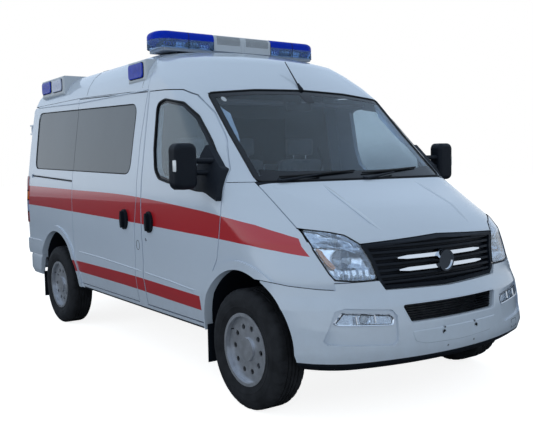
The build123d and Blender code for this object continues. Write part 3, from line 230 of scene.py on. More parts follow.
# ------------------------------------------------------- the body's smooth form
# z, half width, front from the front axle, turn, bow, rear from the rear axle, turn, bow
LEVELS = np.array((
    (380, 945, -615, 600, 65, 900, 840, 30), (640, 985, -655, 600, 65, 925, 865, 30),
    (765, 982, -666, 600, 65, 930, 865, 30), (979, 988, -627, 560, 75, 930, 865, 30),
    (1045, 988, -563, 560, 75, 930, 865, 30), (1150, 987, -408, 560, 80, 930, 865, 30),
    (1323, 975, -22, 700, 70, 930, 860, 30), (1625, 935, 308, 690, 65, 930, 820, 30),
    (1901, 895, 591, 680, 60, 925, 780, 30), (2010, 880, 715, 650, 70, 920, 760, 30),
    (2118, 840, 853, 600, 80, 905, 700, 40), (2190, 790, 956, 560, 90, 880, 640, 50),
    (2250, 720, 1126, 500, 100, 820, 560, 60), (2290, 600, 1300, 420, 110, 700, 440, 80),
    (2312, 350, 1700, 250, 120, 400, 250, 80)), float)
BUMPER_LEVELS = np.array((
    (318, 900, -722, 650, 107, 0, 600, 30), (352, 962, -768, 650, 107, 0, 600, 30),
    (406, 986, -787, 650, 107, 0, 600, 30), (545, 992, -767, 650, 107, 0, 600, 30),
    (650, 992, -744, 650, 107, 0, 600, 30), (722, 988, -697, 630, 90, 0, 600, 30),
    (800, 984, -670, 600, 69, 0, 600, 30)), float)
TAPER = 20.0
WELD = 0.00002                 # metres; cuts and joins closer than this are one
CUT_NEAR = 0.00003


def hermite(t, width, values, slopes, place):
    """Cubic pieces through the values, with the given slope at each."""
    return ((1 + 2 * t) * (1 - t) ** 2 * values[place] + t * (1 - t) ** 2 * width * slopes[place]
            + t * t * (3 - 2 * t) * values[place + 1] + t * t * (t - 1) * width * slopes[place + 1])


def smooth_levels(z):
    """The section numbers at each height, eased between the levels without overshoot."""
    knots, values = LEVELS[:, 0], LEVELS[:, 1:]
    step = np.diff(knots)[:, None]
    slope = np.diff(values, axis=0) / step
    inner = np.where(slope[:-1] * slope[1:] > 0,
                     2 * slope[:-1] * slope[1:] / (slope[:-1] + slope[1:] + 1e-12), 0)
    slopes = np.vstack((slope[:1], inner, slope[-1:]))
    place = np.clip(np.searchsorted(knots, z) - 1, 0, len(knots) - 2)
    t = np.clip((z[:, None] - knots[place][:, None]) / step[place], -0.2, 1.0)
    return hermite(t, step[place], values, slopes, place)


def ruled_levels(z, levels=LEVELS):
    """The section numbers at each height, straight between the levels."""
    return np.stack([np.interp(z, levels[:, 0], column) for column in levels.T[1:]], 1)


class Plan:
    """The plan outline's arcs for rows of section numbers."""

    def __init__(self, numbers):
        self.half, front, self.turn, bow, rear, self.rear_turn, rear_bow = numbers.T
        self.front = front + F
        self.rear = rear + R
        depth, self.radius = self.corner(self.half - self.turn, self.turn, bow)
        self.front_end = self.front + bow
        self.y_front = self.front + bow + depth
        self.rear_half = self.half - TAPER
        depth, self.rear_radius = self.corner(self.rear_half - self.rear_turn, self.rear_turn, rear_bow)
        self.rear_end = self.rear - rear_bow
        self.y_rear = self.rear_end - depth
        self.bow_radius = (self.turn ** 2 + bow ** 2) / (2 * bow)
        self.rear_bow_radius = (self.rear_turn ** 2 + rear_bow ** 2) / (2 * rear_bow)

    @staticmethod
    def corner(a, tx, b):
        slope = 2 * b * tx / (tx * tx - b * b)
        depth = a * (slope + np.sqrt(1 + slope * slope))
        return depth, a + depth * slope

    def zones(self, y, values):
        limits = [y < self.front_end, y < self.y_front, y < self.y_rear, y < self.rear_end]
        return np.select(limits, values[:4], values[4])


def leg(hypotenuse, other):
    return np.sqrt(np.maximum(hypotenuse ** 2 - other ** 2, 0))


def plan_distance(p, levels_at):
    """Distance outside the outer form, in plan, for places near it."""
    q = Plan(levels_at(p[:, 2]))
    x, y = np.abs(p[:, 0]), p[:, 1]
    return q.zones(y, [
        np.hypot(x, y - q.front - q.bow_radius) - q.bow_radius,
        np.hypot(x - q.half + q.radius, y - q.y_front) - q.radius,
        x - q.half + TAPER * (y - q.y_front) / (q.y_rear - q.y_front),
        np.hypot(x - q.rear_half + q.rear_radius, y - q.y_rear) - q.rear_radius,
        np.hypot(x, y - q.rear + q.rear_bow_radius) - q.rear_bow_radius])


def smooth_normal(p, reach=1.5):
    n = np.stack([plan_distance(p + off, smooth_levels) - plan_distance(p - off, smooth_levels)
                  for off in np.eye(3) * reach], 1)
    return n / np.maximum(np.linalg.norm(n, axis=1), 1e-9)[:, None]


def skin_y(x, z, levels=LEVELS, rear=False):
    """y of the front (or rear) skin at each x, z."""
    x, z = np.atleast_1d(np.abs(np.asarray(x, float))), np.atleast_1d(np.asarray(z, float))
    q = Plan(ruled_levels(z, levels))
    if rear:
        return np.where(x <= q.rear_turn, q.rear - q.rear_bow_radius + leg(q.rear_bow_radius, x),
                        q.y_rear + leg(q.rear_radius, x - q.rear_half + q.rear_radius))
    return np.where(x <= q.turn, q.front + q.bow_radius - leg(q.bow_radius, x),
                    q.y_front - leg(q.radius, x - q.half + q.radius))


def skin_x(y, z):
    """x of the left skin at each y, z."""
    y, z = np.atleast_1d(np.asarray(y, float)), np.atleast_1d(np.asarray(z, float))
    q = Plan(ruled_levels(z))
    return q.zones(y, [
        leg(q.bow_radius, q.front + q.bow_radius - y),
        q.half - q.radius + leg(q.radius, y - q.y_front),
        q.half - TAPER * (y - q.y_front) / (q.y_rear - q.y_front),
        q.rear_half - q.rear_radius + leg(q.rear_radius, y - q.y_rear),
        leg(q.rear_bow_radius, y - q.rear + q.rear_bow_radius)])


def on_front(out=0.0, levels=LEVELS):
    """(x, z) to a place on the front skin, moved out by so much."""
    def place(points):
        x, z = np.asarray(points, float).T
        return np.stack((x, skin_y(x, z, levels) - out, z), 1)
    return place


def on_rear(out=0.0):
    def place(points):
        x, z = np.asarray(points, float).T
        return np.stack((x, skin_y(x, z, rear=True) + out, z), 1)
    return place


def on_side(side, out=0.0):
    """(y, z) to a place on one side's skin, moved out by so much."""
    def place(points):
        y, z = np.asarray(points, float).T
        return np.stack((side * (skin_x(y, z) + out), y, z), 1)
    return place


# ------------------------------------------------------------ pieces from nodes
def node_bmesh(node, side=None, keep=None):
    """A node's mesh, or the faces on one side of it whose middle passes keep."""
    bm = bmesh.new()
    bm.from_mesh(NODES[node].data)
    bmesh.ops.remove_doubles(bm, verts=bm.verts, dist=WELD)
    if side:
        gone = [f for f in bm.faces if f.calc_center_median().x * side < 0 or (keep and not keep(f))]
        bmesh.ops.delete(bm, geom=gone, context="FACES")
    return bm


def slice_flat(bm, point, normal, faces=None):
    """Cut the faces along one plane without parting the mesh."""
    faces = list(bm.faces) if faces is None else faces
    if not faces:
        return []
    edges = {e for f in faces for e in f.edges}
    verts = {v for f in faces for v in f.verts}
    cut = bmesh.ops.bisect_plane(bm, geom=list(verts) + list(edges) + list(faces), dist=WELD,
                                 plane_co=point, plane_no=normal)
    kept = {g for g in cut["geom"] + cut["geom_cut"] if isinstance(g, bmesh.types.BMFace)}
    return list(kept | {f for f in faces if f.is_valid})


def extent(face, axis):
    """The lowest and highest corner of a face along an axis, in metres."""
    places = [v.co[axis] for v in face.verts]
    return min(places), max(places)


def reaches(face, below, above):
    """Whether a face starts below one height and ends above another."""
    low, high = extent(face, 2)
    return low < below and high > above


def slice_heights(bm, heights):
    for z in np.asarray(heights) / 1000:
        faces = [f for f in bm.faces if reaches(f, z - 0.0005, z + 0.0005)]
        slice_flat(bm, (0, 0, z), (0, 0, 1), faces)


def eased(points, count):
    """The (y, z) points as count + 1 places on one smooth line, in metres."""
    ys, zs = np.array(sorted(points), float).T
    y = np.linspace(ys[0], ys[-1], count + 1)
    place = np.clip(np.searchsorted(ys, y) - 1, 0, len(ys) - 2)
    width = ys[place + 1] - ys[place]
    return y / 1000, hermite((y - ys[place]) / width, width, zs, np.gradient(zs, ys), place) / 1000


class Band:
    """A painted band on the side, between two lines over y, in metres once made."""

    def __init__(self, low, high, count, front_cut=None):
        self.low = eased(low, count)
        self.high = eased(high, count)
        self.front_cut = front_cut

    def z_at(self, line, y):
        return float(np.interp(y, *line))

    def slice(self, bm):
        """Cut the outward faces at the band's two lines, strip by strip along y."""
        bm.normal_update()
        waiting = [f for f in bm.faces if self.near(f) and (abs(f.normal.x) > 0.25 or f.normal.y > 0.4)]
        cuts = sorted({float(y) for line in (self.low, self.high) for y in line[0]})
        for start, end in zip([None] + cuts, cuts):
            inside, later, across = [], [], []
            for f in waiting:
                first, last = extent(f, 1)
                group = later if first >= end - CUT_NEAR else inside if last <= end + CUT_NEAR else across
                group.append(f)
            for f in slice_flat(bm, (0, end, 0), (0, 1, 0), across):
                (inside if f.calc_center_median().y < end else later).append(f)
            if start is not None:
                for line in (self.low, self.high):
                    z0, z1 = self.z_at(line, start), self.z_at(line, end)
                    near = [f for f in inside if reaches(f, max(z0, z1) + 0.002, min(z0, z1) - 0.002)]
                    known = set(near)
                    rest = [f for f in inside if f not in known]
                    inside = rest + slice_flat(bm, (0, start, z0), (0, z0 - z1, end - start), near)
            waiting = later
        if self.front_cut:
            (y0, z0), (y1, z1) = self.front_cut
            near = [f for f in bm.faces if self.near(f) and f.calc_center_median().y < y0 + 0.1]
            slice_flat(bm, (0, y0, z0), (0, z0 - z1, y1 - y0), near)

    def near(self, face):
        return reaches(face, max(self.high[1]) + 0.01, min(self.low[1]) - 0.01)

    def holds(self, c):
        if not self.low[0][0] < c.y < self.low[0][-1]:
            return False
        if self.front_cut:
            (y0, z0), (y1, z1) = self.front_cut
            if c.y < y0 + (c.z - z0) * (y1 - y0) / (z1 - z0):
                return False
        return self.z_at(self.low, c.y) < c.z < self.z_at(self.high, c.y)


UPPER_BAND = Band(
    ((2400, 1080), (2172, 1078), (995, 1055), (-311, 1024), (-998, 1003), (-1461, 989), (-1876, 966),
     (-2135, 922)),
    ((2400, 1268), (2172, 1265), (992, 1244), (-327, 1214), (-1006, 1169), (-1490, 1129), (-1833, 1078),
     (-2043, 1021), (-2135, 992)), 26, ((-2.043, 1.021), (-2.120, 0.926)))
LOWER_BAND = Band(((1035, 532), (437, 532), (-234, 531), (-788, 520), (-1213, 514)),
                  ((1035, 626), (393, 629), (-272, 627), (-820, 615), (-1241, 606)), 10)
UPPER_BAND_NODES = ("body_side_left", "body_side_right", "sliding_door", "door_left", "door_right", "wings",
                    "rear_door_left", "rear_door_right")
LOWER_BAND_NODES = UPPER_BAND_NODES[:5]
SKIN = {
    "body_side_left": "body", "body_side_right": "body", "sliding_door": "body", "wings": "body",
    "door_left": "front_door_left", "door_right": "front_door_right", "rear_door_left": "rear_door_left",
    "rear_door_right": "rear_door_right", "cab_frame": "body", "roof": "body", "bonnet": "bonnet",
    "front_bumper": "body", "rear_bumper": "body",
}
BUMPER_BLACK_TOP = 365
SKIN_NEAR = 3.0
CUT_HEIGHTS = []
for low, high in zip(LEVELS[:-1, 0], LEVELS[1:, 0]):
    count = max(2, int((high - low) / 45))
    CUT_HEIGHTS += [low + (high - low) * i / count for i in range(count)]


def read_array(collection, field, width=1, kind=float):
    values = np.zeros(len(collection) * width, kind)
    collection.foreach_get(field, values)
    return values.reshape(-1, width) if width > 1 else values


def face_corner_normals(mesh):
    """Smooth normals on the outer skin; elsewhere the mesh's own, sharp at edges over 30 degrees."""
    loops = read_array(mesh.loops, "vertex_index", kind=int)
    own = read_array(mesh.corner_normals, "vector", 3)
    p = read_array(mesh.vertices, "co", 3) * 1000
    near = np.abs(plan_distance(p, ruled_levels)) < SKIN_NEAR
    normal = smooth_normal(p)
    for start, total, face_normal in zip(read_array(mesh.polygons, "loop_start", kind=int),
                                         read_array(mesh.polygons, "loop_total", kind=int),
                                         read_array(mesh.polygons, "normal", 3)):
        ids = loops[start:start + total]
        facing = normal[ids] @ face_normal
        if near[ids].all() and (facing > 0.5).all():
            own[start:start + total][facing > 0.93] = normal[ids][facing > 0.93]
    return own


def make_piece(bm, name, materials, body="body", node=None, skin=False, sharp=30.0):
    """An object from the mesh, with its materials' names in one string, that rides on a body."""
    mesh = bpy.data.meshes.new(name)
    bm.normal_update()
    for e in bm.edges:
        e.smooth = not (len(e.link_faces) == 2 and e.calc_face_angle(0) > math.radians(sharp))
    for f in bm.faces:
        f.smooth = True
    bm.to_mesh(mesh)
    bm.free()
    obj = bpy.data.objects.new(name, mesh)
    bpy.context.scene.collection.objects.link(obj)
    for material in materials.split():
        mesh.materials.append(M[material])
    if skin:
        mesh.normals_split_custom_set([tuple(n) for n in face_corner_normals(mesh)])
    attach(obj, body)
    if node:
        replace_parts(obj, node)
    return obj


for node, body in SKIN.items():
    bm = node_bmesh(node)
    slice_heights(bm, CUT_HEIGHTS)
    if node in UPPER_BAND_NODES:
        UPPER_BAND.slice(bm)
        if not node.startswith("rear"):
            LOWER_BAND.slice(bm)
        bm.normal_update()
        for f in bm.faces:
            c = f.calc_center_median()
            outward = f.normal.x * c.x > 0.3 * abs(c.x) or (c.y > (R + 800) / 1000 and f.normal.y > 0.5)
            if outward and (UPPER_BAND.holds(c) or (node in LOWER_BAND_NODES and LOWER_BAND.holds(c))):
                f.material_index = 1
    if node == "front_bumper":
        slice_heights(bm, [BUMPER_BLACK_TOP])
        for f in bm.faces:
            if f.calc_center_median().z < BUMPER_BLACK_TOP / 1000:
                f.material_index = 1
    second = "black_plastic" if node == "front_bumper" else "paint_red"
    make_piece(bm, f"{node}_skin", f"paint_white {second}", body, node, skin=True)


# -------------------------------------------------------------- outlines, forms
def rounded(points, radius, steps=6):
    """A closed outline with each corner rounded to the radius, where its sides leave room."""
    p = np.asarray(points, float)
    out = []
    for before, here, after in zip(np.roll(p, 1, 0), p, np.roll(p, -1, 0)):
        back, ahead = before - here, after - here
        lb, la = np.linalg.norm(back), np.linalg.norm(ahead)
        back, ahead = back / lb, ahead / la
        half = math.acos(max(-1, min(1, float(back @ ahead)))) / 2
        run = min(radius / max(math.tan(half), 1e-3), 0.45 * lb, 0.45 * la)
        if run < 0.5:
            out.append(here)
            continue
        for t in np.arange(steps + 1) / steps:
            out.append((1 - t) ** 2 * (here + back * run) + 2 * t * (1 - t) * here
                       + t * t * (here + ahead * run))
    return np.array(out)


def resampled(points, step=None, count=None):
    """A closed outline in even steps, or in a count of them."""
    p = np.asarray(points, float)
    p = np.vstack((p, p[:1]))
    run = np.concatenate(([0], np.cumsum(np.linalg.norm(np.diff(p, axis=0), axis=1))))
    count = count or max(4, int(run[-1] / step))
    at = np.linspace(0, run[-1], count, endpoint=False)
    return np.stack([np.interp(at, run, column) for column in p.T], 1)


def soft(points, radius, step):
    return resampled(rounded(points, radius), step)


def inset(points, amount):
    """A closed outline moved inwards by amount."""
    p = np.asarray(points, float)
    area = np.sum(p[:, 0] * np.roll(p[:, 1], -1) - np.roll(p[:, 0], -1) * p[:, 1])
    ahead, behind = np.roll(p, -1, 0) - p, p - np.roll(p, 1, 0)
    t = ahead / np.linalg.norm(ahead, axis=1)[:, None] + behind / np.linalg.norm(behind, axis=1)[:, None]
    t /= np.maximum(np.linalg.norm(t, axis=1), 1e-6)[:, None]
    n = np.stack((-t[:, 1], t[:, 0]), 1) * (1 if area > 0 else -1)
    return p + n * amount


def to_side(points, side):
    p = np.array(points, float)
    p[:, 0] *= side
    return p if side > 0 else p[::-1]


def circle(middle, across, high, count):
    angles = np.linspace(0, 2 * math.pi, count + 1)[:-1]
    return np.stack((middle[0] + across * np.cos(angles), middle[1] + high * np.sin(angles)), 1)


def rim_distance(points, outline):
    """Each point's distance from a closed outline."""
    close = np.full(len(points), np.inf)
    for a, b in zip(outline, np.roll(outline, -1, 0)):
        seg = b - a
        t = np.clip(((points - a) @ seg) / max(seg @ seg, 1e-9), 0, 1)
        close = np.minimum(close, np.linalg.norm(points - a - t[:, None] * seg, axis=1))
    return close


def grid_inside(outline, step):
    """Triangles that fill an outline in its own plane, with inner points every step."""
    p = np.asarray(outline, float)
    low, high = p.min(0), p.max(0)
    inner = np.array([(a, b) for i, b in enumerate(np.arange(low[1] + step / 2, high[1], step))
                      for a in np.arange(low[0] + step / (2 if i % 2 else 1), high[0], step)]).reshape(-1, 2)
    crossing = np.zeros(len(inner), bool)
    for (x0, y0), (x1, y1) in zip(p, np.roll(p, -1, 0)):
        if y0 != y1:
            hit = (y0 > inner[:, 1]) != (y1 > inner[:, 1])
            crossing ^= hit & (inner[:, 0] < (x1 - x0) * (inner[:, 1] - y0) / (y1 - y0) + x0)
    inner = inner[crossing & (rim_distance(inner, p) > step * 0.35)]
    edges = [(i, (i + 1) % len(p)) for i in range(len(p))]
    verts, _, faces, *_ = delaunay_2d_cdt([Vector(q) for q in (*p, *inner)], edges, [], 1, 1e-6)
    return np.array([tuple(v) for v in verts]), [tuple(f) for f in faces]


def strips(rows, count, closed=False):
    """Faces between rings of count points; where closed, from the last ring to the first too."""
    return [(i * count + k, i * count + (k + 1) % count,
             (i + 1) % rows * count + (k + 1) % count, (i + 1) % rows * count + k)
            for i in range(rows if closed else rows - 1) for k in range(count)]


def from_arrays(name, verts, faces, material, body="body", sharp=35.0, node=None):
    bm = bmesh.new()
    made = [bm.verts.new(v) for v in np.asarray(verts, float) / 1000]
    for face in faces:
        bm.faces.new([made[j] for j in face])
    bmesh.ops.remove_doubles(bm, verts=bm.verts, dist=0.000005)
    bmesh.ops.recalc_face_normals(bm, faces=bm.faces)
    return make_piece(bm, name, material, body, node, sharp=sharp)


def patch(name, outline, place, material, step=25.0, thick=0.0, body="body"):
    """A sheet that fills an outline on the skin, with its rim carried back along y by thick."""
    flat, faces = grid_inside(outline, step)
    top = place(flat)
    if not thick:
        return from_arrays(name, top, faces, material, body)
    count = len(top)
    sides = [(a, b) for f in faces for a, b in zip(f, f[1:] + f[:1])]
    known = set(sides)
    rim = [(b, a, a + count, b + count) for a, b in sides if (b, a) not in known]
    under = [tuple(i + count for i in reversed(f)) for f in faces]
    return from_arrays(name, np.vstack((top, top + (0, thick, 0))), faces + under + rim, material, body)


def band(name, outer, inner, place_outer, place_inner, material, body="body", rows=2):
    """A ring between two outlines of the same count."""
    rings = []
    for t in np.arange(rows + 1) / rows:
        flat = outer * (1 - t) + inner * t
        rings.append(place_outer(flat) * (1 - t) + place_inner(flat) * t)
    return from_arrays(name, np.vstack(rings), strips(rows + 1, len(outer)), material, body)


def tube(name, path, radius, material, body="body", closed=False, sides=6, flat=1.0):
    """A round bar along a path, with one radius or one for each point."""
    p = np.asarray(path, float)
    radii = np.broadcast_to(np.asarray(radius, float), (len(p),))
    ahead = np.roll(p, -1, 0) - np.roll(p, 1, 0)
    if not closed:
        ahead[0], ahead[-1] = p[1] - p[0], p[-1] - p[-2]
    ahead /= np.maximum(np.linalg.norm(ahead, axis=1), 1e-9)[:, None]
    hint = np.array((0, 0, 1.0)) if abs(ahead[0][2]) < 0.9 else np.array((1.0, 0, 0))
    rings = []
    for middle, along, r in zip(p, ahead, radii):
        u = hint - along * (hint @ along)
        u /= np.linalg.norm(u)
        hint = u
        w = np.cross(along, u)
        for k in range(sides):
            angle = 2 * math.pi * k / sides
            rings.append(middle + r * (math.cos(angle) * u + math.sin(angle) * w * flat))
    ends = [] if closed else [tuple(range(sides)), tuple(range(len(rings) - sides, len(rings)))]
    return from_arrays(name, rings, strips(len(p), sides, closed) + ends, material, body)


def lathe(name, profile, centre, axis, material, body="body", segments=32):
    """A turned form: its profile is (along the axis, radius) from the centre."""
    axis = Vector(axis).normalized()
    u = axis.orthogonal().normalized()
    along, u, w = np.array(axis), np.array(u), np.array(axis.cross(u))
    verts = []
    for a, r in profile:
        for k in range(segments):
            angle = 2 * math.pi * k / segments
            verts.append(centre + along * a + (u * math.cos(angle) + w * math.sin(angle)) * max(r, 0.001))
    return from_arrays(name, verts, strips(len(profile), segments), material, body)


def block(name, corner, other, material, body="body", bevel=3.0, segments=2, turn=None):
    """A box between two corners, its edges rounded."""
    bm = bmesh.new()
    bmesh.ops.create_cube(bm, size=1)
    low, high = (Vector(pick(corner, other)) / 1000 for pick in (np.minimum, np.maximum))
    middle, size = (low + high) / 2, high - low
    for v in bm.verts:
        v.co = v.co * size
    bmesh.ops.bevel(bm, geom=list(bm.edges), offset=min(bevel / 1000, min(size) * 0.45), segments=segments,
                    profile=0.5, affect="EDGES")
    for v in bm.verts:
        v.co = (turn @ v.co if turn else v.co) + middle
    return make_piece(bm, name, material, body, sharp=40)


def front_place(x, z, deeper, levels=LEVELS):
    """A place so much deeper than the front skin."""
    return tuple(on_front(-deeper, levels)([(x, z)])[0])


# ------------------------------------------------------------------- headlamps
HEADLAMP = np.array(((797, 1069), (675, 1048), (607, 1030), (553, 981), (507, 884), (486, 787), (621, 788),
                     (727, 800), (747, 836), (788, 957)), float)
AMBER = ((776, 966), (754, 962), (738, 920), (702, 862), (722, 852), (746, 884))
DIVIDER = ((756, 975), (700, 970), (650, 962), (585, 935))
BACKWARD = (0, 1, 0)


def lamp_depth(x, z):
    """From the lens back to the reflector: a bowl, a turn lamp, a ledge and a fluted foot."""
    x = np.abs(x)
    bowl = np.hypot((x - 622) / 82, (z - 893) / 66)
    turn = np.hypot((x - 668) / 96, (z - 1002) / 30)
    depth = 34.0 + np.where(bowl < 1, 34 * (1 - bowl ** 2), 0) + np.where(turn < 1, 22 * (1 - turn ** 2), 0)
    ledge = (np.abs(z - 962 - (x - 640) * 0.12) < 9) & (x < 768)
    depth = np.where(ledge, 14.0, depth)
    return np.where((z < 846) & (x < 700), 24 + 5 * np.sin(x / 6.0), depth)


for side_name, side in SIDES:
    outline = to_side(soft(inset(HEADLAMP, 3), 22, 14), side)
    patch(f"headlamp_lens_{side_name}", outline, on_front(1.0), "lamp_glass", 22, 3)
    rim = inset(outline, 2)
    flat, faces = grid_inside(rim, 7)
    back = on_front(-3.0)(flat)
    back[:, 1] += np.minimum(lamp_depth(*flat.T), 4 + rim_distance(flat, rim) * 2.2)
    from_arrays(f"headlamp_reflector_{side_name}", back, faces, "reflector", sharp=50, node="headlamps")
    patch(f"headlamp_amber_{side_name}", soft(to_side(AMBER, side), 14, 10), on_front(-9.0), "amber", 12, 8)
    tube(f"headlamp_seal_{side_name}", on_front(-1.0)(soft(to_side(HEADLAMP, side), 24, 14)), 4.0, "rubber",
         closed=True, sides=8)
    tube(f"headlamp_divider_{side_name}", on_front(-10.0)(to_side(DIVIDER, side)), 4.5, "chrome", sides=8)
    for i, (x, z, r) in enumerate(((622, 893, 20), (662, 1000, 13))):
        bulb = [(-14, 0), (-12, r * 0.6), (-4, r), (8, r), (14, r * 0.7), (46, r * 0.7)]
        lathe(f"headlamp_bulb_{side_name}_{i}", bulb, front_place(side * x, z, 26), BACKWARD, "glass_bright",
              segments=20)
    for i in range(7):
        lathe(f"headlamp_led_{side_name}_{i}", [(-5, 0), (-4, 5), (0, 8), (3, 10), (10, 10)],
              front_place(side * (676 - i * 26), 820 - i * 3.2, 16), BACKWARD, "glass_bright", segments=14)


# ---------------------------------------------------------- bumper and fog lamps
FOG_LAMP = ((776, 575), (727, 632), (470, 606), (446, 586), (456, 548), (752, 566))
FOG_BULB = (612, 590)
PLATE = ((-349, 482), (-337, 448), (-267, 430), (0, 422), (267, 430), (337, 448), (349, 482), (349, 508),
         (-349, 508))
PLATE_HOLES = ((135, 480, 13, 6), (126, 504, 6, 6), (109, 401, 5, 1))    # x, z, radius, depth of its rim
TOW_COVER = ((560, 438), (640, 438), (640, 388), (560, 388))


def on_bumper(out):
    return on_front(out, BUMPER_LEVELS)


for side_name, side in SIDES:
    outline = to_side(soft(inset(FOG_LAMP, 2), 16, 9), side)
    patch(f"fog_lens_{side_name}", inset(outline, 3), on_bumper(-8.0), "lamp_glass", 14, 3)
    flat, faces = grid_inside(outline, 6)
    back = on_bumper(-12.0)(flat)
    x, z = np.abs(flat[:, 0]), flat[:, 1]
    back[:, 1] += 8 + np.where(np.hypot(x - FOG_BULB[0], z - FOG_BULB[1]) < 26, 10, 0) + 3 * (x % 24 > 12)
    from_arrays(f"fog_reflector_{side_name}", back, faces, "reflector", sharp=50, node="fog_lamps")
    band(f"fog_bezel_{side_name}", outline, inset(outline, 7), on_bumper(-6.5), on_bumper(-9.5), "chrome")
    for i, x in enumerate((560, 664)):
        tube(f"fog_post_{side_name}_{i}", on_bumper(-8.5)([(side * x, 570), (side * x, 612)]), 4, "chrome")
    lathe(f"fog_bulb_{side_name}", [(-4, 0), (-3, 12), (0, 19), (6, 22), (18, 22)],
          front_place(side * FOG_BULB[0], FOG_BULB[1], 16, BUMPER_LEVELS), BACKWARD, "glass_bright",
          segments=20)
    for i, (x, z, r, out) in enumerate(PLATE_HOLES):
        place = front_place(side * x, z, 0, BUMPER_LEVELS)
        rim = [(-out, r - 1.5), (-out - 1.2, r), (-out, r + 2), (2, r + 2)]
        bore = [(-out + 0.3, 0), (-out + 0.3, r - 1), (-out - 0.4, r - 0.6)]
        lathe(f"plate_hole_{i}_{side_name}", rim, place, BACKWARD, "grey_plastic", segments=18)
        lathe(f"plate_bore_{i}_{side_name}", bore, place, BACKWARD, "rubber", segments=18)

outline = soft(PLATE, 22, 18)
patch("number_plate_panel", inset(outline, 5), on_bumper(5.0), "paint_white", 40)
band("number_plate_panel_rim", outline, inset(outline, 5), on_bumper(-1.0), on_bumper(5.0), "paint_white")
for i, z in enumerate(range(566, 646, 13)):
    half = 345 + (z - 552) * 0.44
    tube(f"intake_bar_{i}", on_bumper(-30)(np.linspace((-half, z), (half, z), 25)), 2.6, "black_gloss")
outline = resampled([(-388, 648), (388, 648), (344, 553), (-344, 553)], 20)
band("intake_lip", outline, inset(outline, -9), on_bumper(-9), on_bumper(1.5), "paint_white", rows=3)
tube("tow_cover_seam", on_bumper(0.2)(rounded(TOW_COVER, 12)), 1.2, "rubber", closed=True)

# ------------------------------------------------------------------- windscreen
SCREEN = ((0, 1325), (791, 1325), (756, 1903), (400, 1935), (0, 1945), (-400, 1935), (-756, 1903),
          (-791, 1325))
LOWER_MASK = ((-740, 1336), (740, 1336), (738, 1398), (560, 1382), (0, 1376), (-560, 1382), (-738, 1398))
MIRROR_MASK = ((-52, 1935), (52, 1935), (38, 1850), (-38, 1850))
WIPERS = ((-640, -60, -655, 0), (-10, 560, -20, 10))    # blade from x to x, pivot x, blade's lift
PIVOT_Z = 1326

outline = resampled(soft(SCREEN, 30, 12), count=240)
band("windscreen_frit", inset(outline, 2), inset(outline, 34), on_front(-4.2), on_front(-4.2), "black_gloss",
     rows=3)
tube("windscreen_seal", on_front(-1.0)(outline), 6.0, "rubber", closed=True)
patch("windscreen_lower_mask", resampled(LOWER_MASK, 18), on_front(-4.0), "black_gloss", 22)
patch("mirror_mount_mask", soft(MIRROR_MASK, 16, 8), on_front(-4.0), "black_gloss", 14)
patch("screen_sticker", circle((-673, 1860), 17, 17, 24), on_front(-3.9), "cabinet", 12)
for i, (x0, x1, pivot, lift) in enumerate(WIPERS):
    t = np.linspace(0, 1, 22)
    blade = on_front(9.0)(np.stack((np.linspace(x0, x1, 22), 1352 + 26 * t ** 1.4 + lift), 1))
    tube(f"wiper_blade_{i}", blade, np.interp(t, (0, 0.5, 1), (5, 9, 5)), "rubber")
    arm = on_front(20.0)(np.linspace((pivot, PIVOT_Z), ((x0 + x1) / 2, PIVOT_Z + 34), 12))
    tube(f"wiper_arm_{i}", arm, np.linspace(10, 5, 12), "black_plastic", sides=8)
    x, y, z = front_place(pivot, PIVOT_Z, -4)
    lathe(f"wiper_pivot_{i}", [(0, 16), (14, 16), (20, 12), (22, 0)], (x, y, z - 8), (0, -0.45, 0.9),
          "black_plastic", segments=20)

# ------------------------------------------------------------------ window seals
FRONT_WINDOW = [(F + y, z) for y, z in (
    (222, 1264), (268, 1398), (436, 1578), (612, 1748), (762, 1842), (1006, 1884), (1116, 1862), (1102, 1542),
    (1066, 1404), (1000, 1345), (860, 1322), (480, 1275))]
REAR_WINDOW = ((110, 1400), (740, 1400), (712, 1880), (110, 1900))
SIDE_WINDOW = [(F + 1480, 1375), (F + 1450, 1890), (R + 632, 1977), (R + 600, 1436)]
for side_name, side in SIDES:
    door = f"front_door_{side_name}"
    outline = soft(FRONT_WINDOW, 90, 16)
    tube(f"door_window_seal_{side_name}", on_side(side, 0.5)(outline), 8.0, "rubber", door, True, 8)
    band(f"door_window_frame_{side_name}", inset(outline, 5), inset(outline, 22), on_side(side, -3.5),
         on_side(side, -4.2), "black_gloss", door)
    tube(f"side_window_seal_{side_name}", on_side(side, -2.0)(soft(SIDE_WINDOW, 90, 18)), 4.5, "rubber",
         closed=True)
    tube(f"rear_window_seal_{side_name}", on_rear(-1.0)(soft(to_side(REAR_WINDOW, side), 60, 16)), 6.0,
         "rubber", f"rear_door_{side_name}", True)

